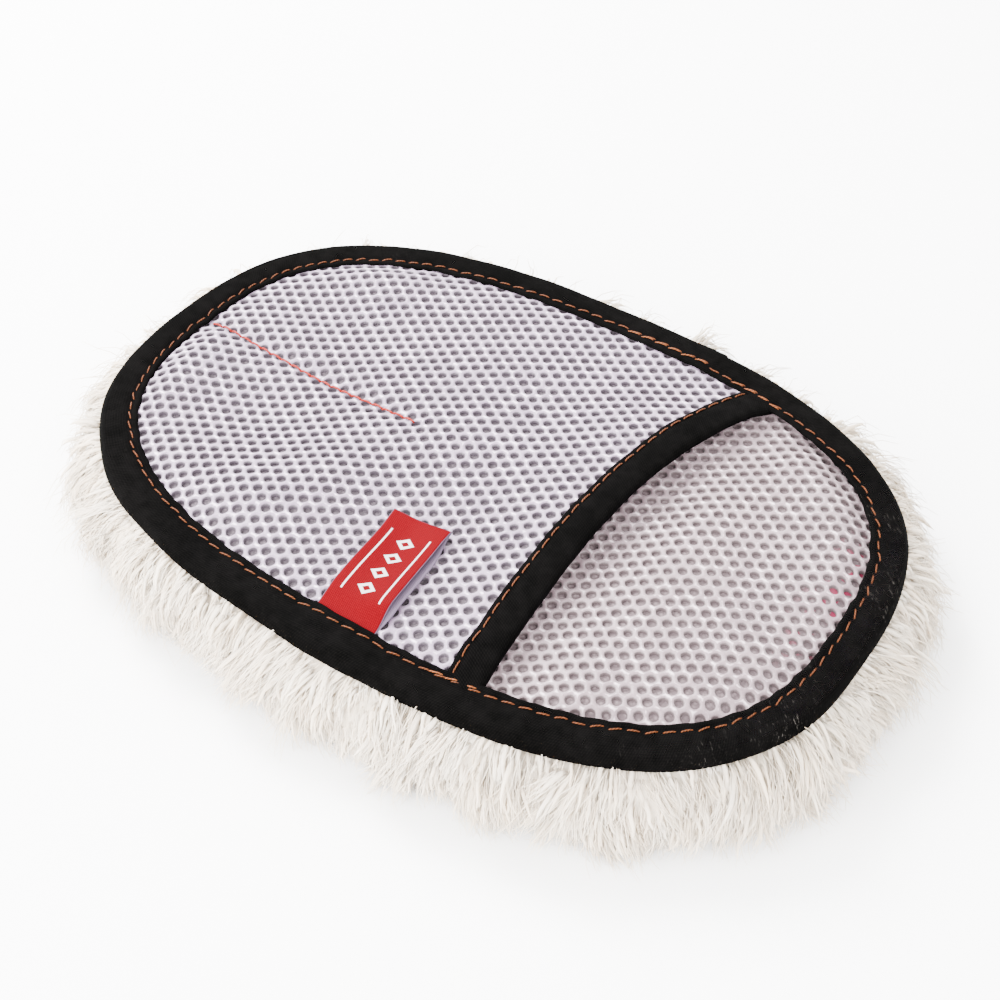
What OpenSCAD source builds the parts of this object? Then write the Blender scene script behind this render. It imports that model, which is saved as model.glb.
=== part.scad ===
// Oval lambswool wash mitt with a hand pocket on its back.
// Millimetres, +Z up. The wool rests on z = 0, the wrist end points to +X,
// and the label is on the -Y side. The origin is under the middle of the pad.

/* [Pad] */
// Length of the pad over its edge binding
pad_length = 250; // [230:1:270]
// Width of the pad over its edge binding
pad_width = 169; // [160:1:180]
// Squareness of the oval outline, where 2 is an ellipse
outline_power = 2.6; // [2.4:0.1:2.8]

/* [Wool] */
// Height of the wool under the edge binding
pile_height = 21; // [16:0.2:30]
// How far the wool swells out past the edge binding
pile_spread = 10; // [4:0.5:12]

/* [Layers] */
// Thickness of the hide that carries the wool
hide_thickness = 0.9; // [0.6:0.1:0.9]
// Thickness of the spacer mesh that the palm rests on
base_thickness = 2; // [1.4:0.1:2]
// Thickness of the spacer mesh over the hand
roof_thickness = 1.8; // [1.4:0.1:1.8]

/* [Edge binding] */
// Width of the edge binding on each face of the pad
edge_tape_width = 12; // [11:0.5:13]
// Thickness of the edge tape
edge_tape_thickness = 0.9; // [0.7:0.1:1]

/* [Pocket] */
// How far the roof stands over its own sewn edge in the middle
roof_rise = 3.7; // [3.6:0.1:6]
// How much further the roof stands up at the mouth
mouth_rise = 1.5; // [1.2:0.1:4]
// Place of the mouth's folded edge on the centre line
mouth_x = 44.2; // [36:0.2:50]
// How far the mouth leans towards the wrist on its far side
mouth_lean = 6.7; // [0:0.1:8]
// How deep the mouth is scooped between its ends
mouth_bow = 9.7; // [4:0.1:11]
// How far the scoop is shifted to one side
mouth_skew = 4; // [0:0.1:5]
// Width of the mouth binding
mouth_tape_width = 10.5; // [9:0.5:11]
// Thickness of the mouth tape
mouth_tape_thickness = 0.7; // [0.5:0.1:0.7]
// Where the seam between the fingers ends, from the middle
divider_end_x = -29; // [-50:1:-20]

/* [Stitches] */
// Distance from stitch to stitch in the edge and mouth seams
stitch_pitch = 5.2; // [4:0.1:6]
// Distance from stitch to stitch in the divider seam
divider_pitch = 4; // [3:0.1:5]
// Diameter of the sewing thread
thread = 0.7; // [0.4:0.05:0.7]

/* [Label] */
// Width of the folded label
label_width = 20; // [14:1:24]
// Length of the label that stands out of the binding
label_length = 38; // [25:1:42]
// Middle of the label along the edge
label_x = 1; // [-20:1:10]

/* [Hidden] */

half_length = pad_length / 2;
half_width = pad_width / 2;

// Heights of the layers, from the wool up
bobbin_room = 0.8;
seam_room = 0.8;
play = 0.1;
tape_low_z = pile_height + bobbin_room;
hide_z = tape_low_z + edge_tape_thickness + play;
base_z = hide_z + hide_thickness + seam_room;
base_top_z = base_z + base_thickness;
lip_room = 1.35;
roof_edge_z = base_top_z + lip_room;
tape_top_z = roof_edge_z + roof_thickness + play + edge_tape_thickness;

// Shares of the outline at which the roof starts to rise and stands at its full height
ramp_start = 0.86;
ramp_end = 0.66;
seam_ramp = 13;
seam_clear = 9.5;
mouth_ramp = 45;

layer_inset = 2.45;
edge_fold_radius = 2.4;
mouth_fold_radius = 1.6;
lip_play = 0.3;
roof_setback = mouth_tape_thickness + lip_play + 0.6;
edge_seam_inset = 9.4;
mouth_seam_inset = 8.6;
mouth_near_y = -69.3;
mouth_far_y = 66.8;
mouth_seam_margin = 4;
mouth_scale = 70;
divider_start_x = -half_length + edge_tape_width + 1;
thread_lift = thread / 2 + 0.02;
lip_thread_lift = thread_lift + 0.15;
stitch_share = 0.84;

label_ply = 0.4;
label_gap = 0.5;
label_base_z = tape_top_z + 0.3;
label_base_y = -half_width + edge_tape_width + 1.3;
label_lift = 1.8;

// Facets of the swept pieces
edge_rings = 80;
wool_sides = 72;
roof_rows = 48;
roof_columns = 18;
lip_rings = 46;
arc_steps = 2;
label_steps = 10;

// ---- helpers ---------------------------------------------------------------

function side(v) = v < 0 ? -1 : 1;
function ease(t) = let (s = min(1, max(0, t))) s * s * (3 - 2 * s);

// Share of the way from the middle to the oval's outline at a point
function share(x, y) =
    pow(pow(abs(x) / half_length, outline_power) + pow(abs(y) / half_width, outline_power),
        1 / outline_power);

// Outward normal of the oval at a point of its outline
function rim_normal(p) =
    let (g = [side(p.x) * pow(abs(p.x) / half_length, outline_power - 1) / half_length,
              side(p.y) * pow(abs(p.y) / half_width, outline_power - 1) / half_width])
    g / norm(g);

// Point of the outline at polar angle q, moved inwards along its normal
function rim(q, inset) =
    let (p = [cos(q), sin(q)] / share(cos(q), sin(q))) p - inset * rim_normal(p);

function ring(inset, n) = [for (i = [0:n - 1]) rim(360 * i / n, inset)];

// Half length of the inset layers at height y across the pad
function layer_x(y) =
    (half_length - layer_inset) *
    pow(max(0, 1 - pow(abs(y) / (half_width - layer_inset), outline_power)), 1 / outline_power);

// Folded edge of the pocket's mouth at y
function mouth(y) =
    let (u = y / mouth_scale)
    mouth_x + mouth_lean * u + mouth_bow * u * u + mouth_skew * (u * u * u - u);

// Distance of a point from the divider seam, which pins the roof down
function seam_distance(x, y) = norm([max(0, x - divider_end_x - seam_clear), y]);

// Underside of the pocket's roof
function roof_z(x, y) =
    roof_edge_z
    + ease((ramp_start - share(x, y)) / (ramp_start - ramp_end))
      * (roof_rise * ease(seam_distance(x, y) / seam_ramp)
         + mouth_rise * ease((x - mouth(y) + mouth_ramp) / mouth_ramp));

function arc(c, r, a0, a1) =
    [for (i = [0:arc_steps]) let (a = a0 + (a1 - a0) * i / arc_steps) c + r * [cos(a), sin(a)]];

// Section of a tape folded round an edge at u = 0: u runs into the fabric, the second value is z
function folded_tape(width, z0, z1, t, r) = concat(
    [[width, z0 + t]],
    arc([r, z0 + r], r - t, 270, 180),
    arc([r, z1 - r], r - t, 180, 90),
    [[width, z1 - t], [width, z1]],
    arc([r, z1 - r], r, 90, 180),
    arc([r, z0 + r], r, 180, 270),
    [[width, z0]]);

// Two triangles between point i and its neighbour on rings k and m of n points
function band(k, m, n) = [
    for (i = [0:n - 1]) let (j = (i + 1) % n) each [
        [k * n + i, m * n + i, m * n + j],
        [k * n + i, m * n + j, k * n + j]]];

// End of a skin: strips from the first half of ring k's n points to its second half
function cap(k, n) = [
    for (i = [0:n / 2 - 2]) each [
        [k * n + i, k * n + i + 1, k * n + n - 2 - i],
        [k * n + i, k * n + n - 2 - i, k * n + n - 1 - i]]];

function reversed(faces) = [for (f = faces) [f[2], f[1], f[0]]];

// Solid skinned over rings of the same even number of points; a closed one has no ends
module skin(rings, closed = false) {
    n = len(rings[0]);
    last = len(rings) - 1;
    sides = [for (k = [0:last - 1]) each band(k, k + 1, n)];
    ends = closed ? band(last, 0, n) : concat(cap(0, n), reversed(cap(last, n)));
    polyhedron([for (r = rings) each r], concat(sides, ends), convexity = 10);
}

// One stitch: a short hexagonal length of thread between two points
module stitch(a, b) {
    d = b - a;
    translate(a)
        rotate([0, acos(d.z / norm(d)), atan2(d.y, d.x)])
            cylinder(h = norm(d), d = thread, $fn = 6);
}

// Running lengths along a path, each with the index that it belongs to
function lengths(path, i = 0, sum = 0) =
    i >= len(path) - 1 ? [[sum, i]]
    : concat([[sum, i]], lengths(path, i + 1, sum + norm(path[i + 1] - path[i])));

function at(path, f) =
    let (i = min(len(path) - 2, floor(f))) path[i] + (f - i) * (path[i + 1] - path[i]);

// Even stitches along a path, with the stated pitch rounded to fit
module seam(path, pitch, from = 0, count = 0) {
    table = lengths(path);
    total = table[len(table) - 1][0];
    n = round(total / pitch);
    step = total / n;
    last = count > 0 ? from + count - 1 : n - 1;
    for (i = [from:last])
        stitch(at(path, lookup((i + (1 - stitch_share) / 2) * step, table)),
               at(path, lookup((i + (1 + stitch_share) / 2) * step, table)));
}

function edge_path(z, inset) =
    [for (i = [0:180]) let (p = rim(2 * i, inset)) [p.x, p.y, z]];
function mouth_path(offset) =
    let (y0 = mouth_near_y + mouth_seam_margin, y1 = mouth_far_y - mouth_seam_margin)
    [for (i = [0:60])
        let (y = y0 + (y1 - y0) * i / 60, x = mouth(y) - mouth_seam_inset)
        [x, y, roof_z(x, y) + offset]];
function divider_path(z) =
    [for (i = [0:20]) [divider_start_x + (divider_end_x - divider_start_x) * i / 20, 0, z]];

// ---- pad -------------------------------------------------------------------

// Wool: a swollen cushion of fibres with a shelf on top for the binding
module wool_pile() {
    h = pile_height;
    s = pile_spread;
    profile = [
        [4, 0], [-0.4 * s, 0.09 * h], [-0.87 * s, 0.27 * h], [-s, 0.5 * h], [-0.82 * s, 0.73 * h],
        [-0.45 * s, 0.92 * h], [0, h], [edge_tape_width + 0.6, h],
        [edge_tape_width + 0.8, hide_z - play]];
    color("ivory")
        skin([for (p = profile) [for (q = ring(p[0], wool_sides)) [q.x, q.y, p[1]]]]);
}

module layer(z, thickness) {
    translate([0, 0, z])
        linear_extrude(thickness)
            polygon(ring(layer_inset, wool_sides));
}

module hide_backing() {
    color("tan") layer(hide_z, hide_thickness);
}

module base_mesh() {
    color("lavender") layer(base_z, base_thickness);
}

// Roof of the hand pocket, from the finger end to the mouth, as rows of sections across the pad
module pocket_mesh() {
    reach = (half_width - layer_inset) * 0.995;
    color("lavender")
        skin([for (j = [0:roof_rows])
            let (y = -reach * cos(180 * j / roof_rows),
                 x0 = -layer_x(y),
                 x1 = min(layer_x(y), mouth(y) - roof_setback),
                 xs = [for (i = [0:roof_columns]) x0 + (x1 - x0) * i / roof_columns])
            concat([for (i = [roof_columns:-1:0]) [xs[i], y, roof_z(xs[i], y)]],
                   [for (x = xs) [x, y, roof_z(x, y) + roof_thickness]])]);
}

// ---- edge binding and its seam ---------------------------------------------

module edge_binding() {
    section = folded_tape(edge_tape_width, tape_low_z, tape_top_z, edge_tape_thickness,
                          edge_fold_radius);
    color("black")
        skin([for (i = [0:edge_rings - 1])
            let (q = 360 * i / edge_rings)
            [for (s = section) let (p = rim(q, s[0])) [p.x, p.y, s[1]]]], closed = true);
}

module edge_needle_thread() {
    color("peru")
        seam(edge_path(tape_top_z + thread_lift, edge_seam_inset), stitch_pitch);
}

module edge_bobbin_thread() {
    color("peru")
        seam(edge_path(tape_low_z - thread_lift, edge_seam_inset), stitch_pitch);
}

// Second row of stitches that locks the seam over each end of the mouth binding
module edge_backtack_thread() {
    path = edge_path(tape_top_z + thread_lift, edge_seam_inset + 0.9);
    color("peru") {
        seam(path, stitch_pitch, 15, 4);
        seam(path, stitch_pitch, 100, 2);
    }
}

// ---- divider seam between the fingers ---------------------------------------

module divider_needle_thread() {
    color("crimson")
        seam(divider_path(roof_edge_z + roof_thickness + thread_lift), divider_pitch);
}

module divider_bobbin_thread() {
    color("crimson")
        seam(divider_path(base_z - thread_lift), divider_pitch);
}

// ---- mouth of the pocket -----------------------------------------------------

module mouth_binding() {
    wrap = lip_play + mouth_tape_thickness;
    section = folded_tape(mouth_tape_width, -wrap, roof_thickness + wrap, mouth_tape_thickness,
                          mouth_fold_radius);
    color("black")
        skin([for (i = [0:lip_rings])
            let (y = mouth_near_y + (mouth_far_y - mouth_near_y) * i / lip_rings)
            [for (s = section) let (x = mouth(y) - s[0]) [x, y, roof_z(x, y) + s[1]]]]);
}

module mouth_needle_thread() {
    color("peru")
        seam(mouth_path(roof_thickness + lip_play + mouth_tape_thickness + lip_thread_lift),
             stitch_pitch);
}

module mouth_bobbin_thread() {
    color("peru")
        seam(mouth_path(-lip_play - mouth_tape_thickness - lip_thread_lift), stitch_pitch);
}

// ---- label -------------------------------------------------------------------

// Middle line of the folded label over the roof: a share t of its length and its height
function label_line(t) =
    let (y = label_base_y + label_length * t)
    [y, max(label_base_z + t * label_lift,
            roof_z(label_x, y) + roof_thickness + label_ply + label_gap + label_lift * t)];

// Folded ribbon: two plies that meet in a fold at the free end
module label() {
    half = label_gap / 2 + label_ply;
    ts = [for (i = [0:label_steps]) i / label_steps];
    back = [for (i = [label_steps:-1:0]) i / label_steps];
    tip = label_line(1);
    section = concat(
        [for (t = ts) label_line(t) - [0, half]],
        [tip + [half, 0]],
        [for (t = back) label_line(t) + [0, half]],
        [for (t = ts) label_line(t * 0.99) + [0, label_gap / 2]],
        [for (t = back) label_line(t * 0.99) - [0, label_gap / 2]]);
    color("firebrick")
        translate([label_x - label_width / 2, 0, 0])
            rotate([90, 0, 90])
                linear_extrude(label_width)
                    polygon(section);
}

// ---- nodes -------------------------------------------------------------------

wool_pile();
hide_backing();
base_mesh();
pocket_mesh();
edge_binding();
edge_needle_thread();
edge_bobbin_thread();
edge_backtack_thread();
divider_needle_thread();
divider_bobbin_thread();
mouth_binding();
mouth_needle_thread();
mouth_bobbin_thread();
label();
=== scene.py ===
import math

import bpy
import numpy as np
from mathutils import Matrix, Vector


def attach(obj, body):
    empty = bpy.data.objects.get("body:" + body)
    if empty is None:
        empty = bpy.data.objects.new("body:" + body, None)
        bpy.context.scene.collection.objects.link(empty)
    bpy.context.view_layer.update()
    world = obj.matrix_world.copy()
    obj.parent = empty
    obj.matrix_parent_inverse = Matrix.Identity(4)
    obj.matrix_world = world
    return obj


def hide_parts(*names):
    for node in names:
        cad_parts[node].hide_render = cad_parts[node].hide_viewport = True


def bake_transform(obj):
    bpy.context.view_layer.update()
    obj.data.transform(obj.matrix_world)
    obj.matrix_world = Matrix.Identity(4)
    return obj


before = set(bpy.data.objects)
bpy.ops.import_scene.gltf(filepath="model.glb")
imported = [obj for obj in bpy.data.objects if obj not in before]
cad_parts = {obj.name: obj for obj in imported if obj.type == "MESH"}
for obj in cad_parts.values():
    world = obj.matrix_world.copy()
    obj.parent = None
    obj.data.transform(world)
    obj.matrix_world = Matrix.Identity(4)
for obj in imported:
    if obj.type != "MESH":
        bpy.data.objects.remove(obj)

bl_info = {
    "name": "Wash mitt",
    "version": (1, 0, 0),
    "blender": (4, 5, 0),
    "location": "View3D > Sidebar > Mitt",
    "description": "Builds the looks of an oval lambswool wash mitt with a mesh hand pocket",
    "category": "Object",
}

MM = 0.001
TAU = 2 * math.pi


# ---- settings ------------------------------------------------------------------


class MittShape(bpy.types.PropertyGroup):
    length: bpy.props.FloatProperty(
        name="Length", description="Length over the edge tape", default=0.25, unit="LENGTH"
    )
    width: bpy.props.FloatProperty(
        name="Width", description="Width over the edge tape", default=0.169, unit="LENGTH"
    )
    power: bpy.props.FloatProperty(
        name="Outline power", description="Squareness of the oval, where 2 is an ellipse", default=2.6
    )
    tape_low: bpy.props.FloatProperty(
        name="Tape underside", description="Height of the edge tape's underside", default=0.0240, unit="LENGTH"
    )
    tape_top: bpy.props.FloatProperty(
        name="Tape top", description="Height of the edge tape's top", default=0.03065, unit="LENGTH"
    )
    tape_thickness: bpy.props.FloatProperty(
        name="Tape thickness", description="Thickness of the edge tape", default=0.0009, unit="LENGTH"
    )
    palm_top: bpy.props.FloatProperty(
        name="Palm height", description="Height of the mesh that the palm rests on", default=0.0265, unit="LENGTH"
    )
    seed: bpy.props.IntProperty(name="Seed", description="Seed of everything uneven", default=7)


class MittNet(bpy.types.PropertyGroup):
    pitch: bpy.props.FloatProperty(
        name="Hole pitch", description="Distance between holes across the pad", default=0.00454, unit="LENGTH"
    )
    column: bpy.props.FloatProperty(
        name="Column pitch", description="Distance between columns of holes along the pad", default=0.00334, unit="LENGTH"
    )
    hole_long: bpy.props.FloatProperty(
        name="Hole length", description="Hole size along the pad", default=0.0028, unit="LENGTH"
    )
    hole_wide: bpy.props.FloatProperty(
        name="Hole width", description="Hole size across the pad", default=0.00275, unit="LENGTH"
    )
    depth: bpy.props.FloatProperty(
        name="Depth", description="Depth of the holes", default=0.0014, unit="LENGTH"
    )


class MittSeams(bpy.types.PropertyGroup):
    pitch: bpy.props.FloatProperty(
        name="Stitch pitch", description="Distance from stitch to stitch", default=0.00515, unit="LENGTH"
    )
    divider_pitch: bpy.props.FloatProperty(
        name="Divider pitch", description="Stitch pitch of the seam between the fingers", default=0.0042, unit="LENGTH"
    )
    thread: bpy.props.FloatProperty(
        name="Thread", description="Diameter of the sewing thread", default=0.00045, unit="LENGTH"
    )


class MittFleece(bpy.types.PropertyGroup):
    spread: bpy.props.FloatProperty(
        name="Spread", description="How far the wool reaches past the edge tape", default=0.0116, unit="LENGTH"
    )
    lock_gap: bpy.props.FloatProperty(
        name="Lock spacing", description="Distance between locks round the edge", default=0.0031, unit="LENGTH"
    )
    fibres: bpy.props.IntProperty(name="Fibres", description="Fibre bundles in one lock", default=17)
    sectors: bpy.props.IntProperty(name="Sectors", description="Pieces that the side locks are made in", default=14)


# ---- shape of the pad, in millimetres --------------------------------------------


def ease(t):
    """Smooth step from 0 to 1: 3t^2 - 2t^3."""
    t = np.clip(t, 0.0, 1.0)
    return t * t * (3 - 2 * t)


def bump(x, y, cx, cy, rx, ry=None):
    """A round hill of height 1 at (cx, cy): exp(-(dx/rx)^2 - (dy/ry)^2)."""
    return np.exp(-(((x - cx) / rx) ** 2) - ((y - cy) / (ry or rx)) ** 2)


def waves(s, rng, longest, shortest, count=7):
    """A sum of sines with seeded phases, wavelengths spaced evenly in log from longest to shortest, scaled
    to about +-1."""
    out = 0.0
    for k in range(count):
        wavelength = longest * (shortest / longest) ** (k / max(1, count - 1))
        out = out + np.sin(TAU * s / wavelength + rng.uniform(0, TAU)) * rng.uniform(0.5, 1.0)
    return out / math.sqrt(count)


def loop_waves(q, rng, lowest, highest, count=7):
    """The same for a closed loop: whole numbers of waves round the angle q."""
    out = 0.0
    for k in rng.integers(lowest, highest + 1, count):
        out = out + np.sin(k * q + rng.uniform(0, TAU)) * rng.uniform(0.5, 1.0)
    return out / math.sqrt(count)


class Pad:
    """The mitt's surfaces as functions of place, all in millimetres."""

    def __init__(self, scene):
        p = scene.mitt_shape
        self.a, self.b, self.n = p.length * 500, p.width * 500, p.power
        self.low, self.top, self.tape = p.tape_low * 1000, p.tape_top * 1000, p.tape_thickness * 1000
        self.palm_top = p.palm_top * 1000
        self.seed = p.seed
        self.edge_top = self.top - self.tape - 0.1
        self.roof_thick = 1.7
        self.mouth_scale = 70.0

    def share(self, x, y):
        """Superellipse radius: (|x/a|^n + |y/b|^n)^(1/n), 1 on the outline."""
        return ((np.abs(x) / self.a) ** self.n + (np.abs(y) / self.b) ** self.n) ** (1 / self.n)

    def normal(self, x, y):
        """Outward unit normal of the superellipse through (x, y)."""
        g = np.stack(
            [
                np.sign(x) * (np.abs(x) / self.a) ** (self.n - 1) / self.a,
                np.sign(y) * (np.abs(y) / self.b) ** (self.n - 1) / self.b,
            ],
            axis=-1,
        )
        return g / np.maximum(np.linalg.norm(g, axis=-1, keepdims=True), 1e-12)

    def outline(self, count):
        """Points and outward normals evenly spaced along the outline, with the running length."""
        q = np.linspace(0, TAU, 8001)
        c, s = np.cos(q), np.sin(q)
        r = 1 / self.share(c, s)
        p = np.stack([c * r, s * r], axis=-1)
        run = running(p)
        at = np.linspace(0, run[-1], count, endpoint=False)
        pts = np.stack([np.interp(at, run, p[:, k]) for k in range(2)], axis=-1)
        return pts, self.normal(pts[:, 0], pts[:, 1]), at, run[-1]

    def inset(self, x, y):
        """About how far a point is inside the outline: (1 - share) over the gradient of share."""
        s = np.maximum(self.share(x, y), 1e-6)
        gx = (np.abs(x) / self.a) ** (self.n - 1) / self.a
        gy = (np.abs(y) / self.b) ** (self.n - 1) / self.b
        g = np.hypot(gx, gy) / s ** (self.n - 1)
        return (1 - s) / np.maximum(g, 1e-6)

    def mouth(self, y):
        """Folded edge of the pocket's mouth: a leaning cubic scoop across the pad."""
        u = y / self.mouth_scale
        return 44.2 + 6.7 * u + 9.7 * u * u + 4.0 * (u**3 - u)

    def tape_width(self, x, y):
        return 12.2 - 1.2 * ease((x - 60) / 60) - 0.3 * ease((y - 20) / 60)

    def seam_y(self, x):
        """The divider seam runs from (-112, 2) to (-28.5, 0.5)."""
        return 0.5 + 1.5 * np.clip((-28.5 - x) / 83.5, 0, 1)

    def seam_gap(self, x, y):
        return np.hypot(np.maximum(0, x + 28.5), y - self.seam_y(x))

    def roof_top(self, x, y):
        """Top of the pocket's roof: it rises inside the tape, sags and ridges over the fingers, lifts at the mouth,
        and is pulled down along the divider seam."""
        rise = ease((self.inset(x, y) - 9.5) / 11)
        sag = (
            -2.9 * bump(x, y, -68, -14, 26)
            + 2.6 * bump(x, y, -52, -50, 17, 12)
            + 2.2 * bump(x, y, -36, -33, 15)
            + 1.5 * bump(x, y, -12, 2, 17)
            + 2.2 * bump(x, y, -106, -20, 11, 22)
            + 1.6 * bump(x, y, -82, 52, 20, 12)
            - 0.9 * bump(x, y, 10, -38, 18)
            - 1.5 * bump(x, y, 28, 62, 24, 14)
            - 1.2 * bump(x, y, -70, 26, 26, 12)
        )
        across = np.clip(1 - np.abs((y - 2) / 72) ** 2.4, 0, 1)
        lift = 4.1 * ease((x - self.mouth(y) + 48) / 46) * across
        ripple = 0.22 * np.sin(x / 7.3 + 1.3 * np.sin(y / 15)) * np.sin(y / 8.9 + 0.8)
        seam = 1.25 * np.exp(-((self.seam_gap(x, y) / 3.1) ** 2))
        return self.edge_top + rise * (1.25 + sag + lift + ripple) - seam * ease((self.inset(x, y) - 9) / 6)

    def palm(self, x, y):
        """Top of the palm's mesh: low in the pocket, and puffed up by the wool past the mouth."""
        rise = ease((self.inset(x, y) - 8) / 12)
        out = ease((x - self.mouth(y) - 2) / 22)
        z = self.palm_top + rise * (
            0.2 + out * (3.1 - 1.6 * bump(x, y, 56, 52, 16) - 1.0 * bump(x, y, 112, -5, 12, 20) + 0.35 * np.sin(x / 9 + y / 13))
        )
        return np.minimum(z, np.where(x < self.mouth(y), self.roof_top(x, y) - self.roof_thick - 0.45, 1e3))

    def lifted(self, x, y):
        """Share of the mouth's lift for a point of the roof: none at the edge tape and under the
        label, all in the middle of the mouth."""
        start = 9 - 30 * ease((y + 5) / 40)
        along = ease((x - start) / (self.mouth(y) - start))
        return along * np.clip(1 - np.abs(y / 71.5) ** 2.6, 0, 1)


# ---- mesh helpers -----------------------------------------------------------------


def make(name, points, faces, material, marks=None, smooth=True):
    """A mesh object from points in millimetres and a list of face arrays. marks are number or vector
    attributes on the points."""
    points = np.asarray(points, float).reshape(-1, 3)
    faces = [np.asarray(f, np.int64) for f in faces if len(f)]
    mesh = bpy.data.meshes.new(name)
    mesh.vertices.add(len(points))
    mesh.vertices.foreach_set("co", (points * MM).astype(np.float32).ravel())
    loops = np.concatenate([f.ravel() for f in faces]).astype(np.int32)
    sizes = np.concatenate([np.full(len(f), f.shape[1]) for f in faces])
    mesh.loops.add(len(loops))
    mesh.loops.foreach_set("vertex_index", loops)
    mesh.polygons.add(len(sizes))
    mesh.polygons.foreach_set("loop_start", np.concatenate([[0], np.cumsum(sizes)[:-1]]).astype(np.int32))
    for key, values in (marks or {}).items():
        values = np.asarray(values, np.float32)
        if values.ndim > 1:
            mesh.attributes.new(key, "FLOAT_VECTOR", "POINT").data.foreach_set("vector", values.ravel())
        else:
            mesh.attributes.new(key, "FLOAT", "POINT").data.foreach_set("value", values)
    mesh.update(calc_edges=True)
    mesh.validate()
    if smooth:
        mesh.shade_smooth()
    mesh.materials.append(material)
    obj = bpy.data.objects.new(name, mesh)
    bpy.context.scene.collection.objects.link(obj)
    return obj


def grid(rows, columns, close_rows=False, close_columns=False):
    """Quads between neighbours of a rows x columns array of points."""
    i = np.arange(rows if close_rows else rows - 1)[:, None]
    j = np.arange(columns if close_columns else columns - 1)[None, :]
    i2, j2 = (i + 1) % rows, (j + 1) % columns
    one = np.ones_like(i * j)
    return np.stack(
        [(a * columns + b) * one for a, b in ((i, j), (i, j2), (i2, j2), (i2, j))],
        axis=-1,
    ).reshape(-1, 4)


def outward(points, faces):
    """The faces, turned over if they enclose a negative volume."""
    p, total = np.asarray(points, float).reshape(-1, 3), 0.0
    for f in faces:
        for k in range(1, f.shape[1] - 1):
            a, b, c = p[f[:, 0]], p[f[:, k]], p[f[:, k + 1]]
            total += float((a * np.cross(b, c)).sum())
    return faces if total > 0 else [f[:, ::-1] for f in faces]


def tubes(lines, radii, sides):
    """Closed tubes along many lines at once. lines is (count, steps, 3) and radii (count, steps); returns
    points, faces and each point's share along."""
    count, steps = lines.shape[:2]
    d = np.gradient(lines, axis=1)
    d /= np.maximum(np.linalg.norm(d, axis=2, keepdims=True), 1e-9)
    up = np.where(np.abs(d[..., 2:3]) > 0.9, np.array([1.0, 0, 0]), np.array([0, 0, 1.0]))
    u = np.cross(up, d)
    u /= np.maximum(np.linalg.norm(u, axis=2, keepdims=True), 1e-9)
    v = np.cross(d, u)
    angle = TAU * np.arange(sides) / sides
    ring = u[:, :, None] * np.cos(angle)[None, None, :, None] + v[:, :, None] * np.sin(angle)[None, None, :, None]
    points = lines[:, :, None] + ring * radii[:, :, None, None]
    one = grid(steps, sides, close_columns=True)
    offset = (np.arange(count) * steps * sides)[:, None, None]
    quads = (one[None] + offset).reshape(-1, 4)
    first = (np.arange(sides)[::-1][None] + offset[:, :, 0]).reshape(-1, sides)
    last = (np.arange(sides)[None] + (steps - 1) * sides + offset[:, :, 0]).reshape(-1, sides)
    share = np.broadcast_to(np.linspace(0, 1, steps)[None, :, None], (count, steps, sides))
    return points.reshape(-1, 3), [quads, first, last], share.reshape(-1)


def running(points):
    """Running length along a line of points."""
    return np.concatenate([[0], np.cumsum(np.linalg.norm(np.diff(points, axis=0), axis=1))])


def capped(name, points, material, marks=None):
    """A closed strip from a rows x ring array of points. Half of each ring is one face and the rest is the other, back
    again. Quads close the first and the last row."""
    rows, ring = points.shape[:2]
    k = np.arange(ring // 2 - 1)
    cap = np.column_stack([k, k + 1, ring - 2 - k, ring - 1 - k])
    faces = grid(rows, ring, close_columns=True)
    points = points.reshape(-1, 3)
    sides = outward(points, [faces])
    caps = [cap, (cap + (rows - 1) * ring)[:, ::-1]]
    if sides[0] is faces:
        caps = [c[:, ::-1] for c in caps]
    return make(name, points, [sides[0], *caps], material, marks)


def plied(name, lines, radii, sides, winding, material):
    """Stitches as tubes, with a ply mark that winds round the thread and along each stitch."""
    points, faces, share = tubes(lines, radii, sides)
    turn = np.tile(TAU * np.arange(sides) / sides, len(points) // sides)
    return make(name, points, faces, material, {"ply": 2 * turn + share * winding})


def two_skins(outer, count, thick):
    """A tape's section as distance, height and length across: the outer skin, then back along the inner one, which is
    the outer one moved along its own normal by the thickness."""
    u = np.array([np.broadcast_to(k[0], count) for k in outer])
    z = np.array([np.broadcast_to(k[1], count) for k in outer])
    du, dz = np.gradient(u, axis=0), np.gradient(z, axis=0)
    size = np.maximum(np.hypot(du, dz), 1e-6)
    away = np.concatenate([[0], np.cumsum(np.hypot(np.diff(u.mean(1)), np.diff(z.mean(1))))])
    inner_u, inner_z = u - thick * dz / size, z + thick * du / size
    across = np.concatenate([away, away[::-1]])
    return np.concatenate([u, inner_u[::-1]]), np.concatenate([z, inner_z[::-1]]), across


def follow_mouth(obj, pad):
    """Bakes the piece's transform and works out the share of the mouth's lift that Pad.lifted gives each
    point; nothing applies that share, so the piece does not bend."""
    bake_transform(obj)
    co = np.empty(len(obj.data.vertices) * 3, np.float32)
    obj.data.vertices.foreach_get("co", co)
    co = co.reshape(-1, 3) / MM
    pad.lifted(co[:, 0], co[:, 1]).astype(np.float32)
    return obj


# ---- materials ----------------------------------------------------------------------


def add(tree, kind, inputs=None, **settings):
    """A node with its settings and inputs set, where an input is a value or another node's output."""
    n = tree.nodes.new(kind)
    for key, value in settings.items():
        setattr(n, key, value)
    for key, value in (inputs or {}).items():
        if isinstance(value, bpy.types.NodeSocket):
            tree.links.new(value, n.inputs[key])
        else:
            n.inputs[key].default_value = value
    return n


def grain_of(tree, vector, scale, detail):
    return add(tree, "ShaderNodeTexNoise", {"Vector": vector, "Scale": scale, "Detail": detail}).outputs["Fac"]


def maths(tree, operation, a, b=0.5, c=0.5):
    return add(tree, "ShaderNodeMath", {0: a, 1: b, 2: c}, operation=operation).outputs[0]


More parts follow.
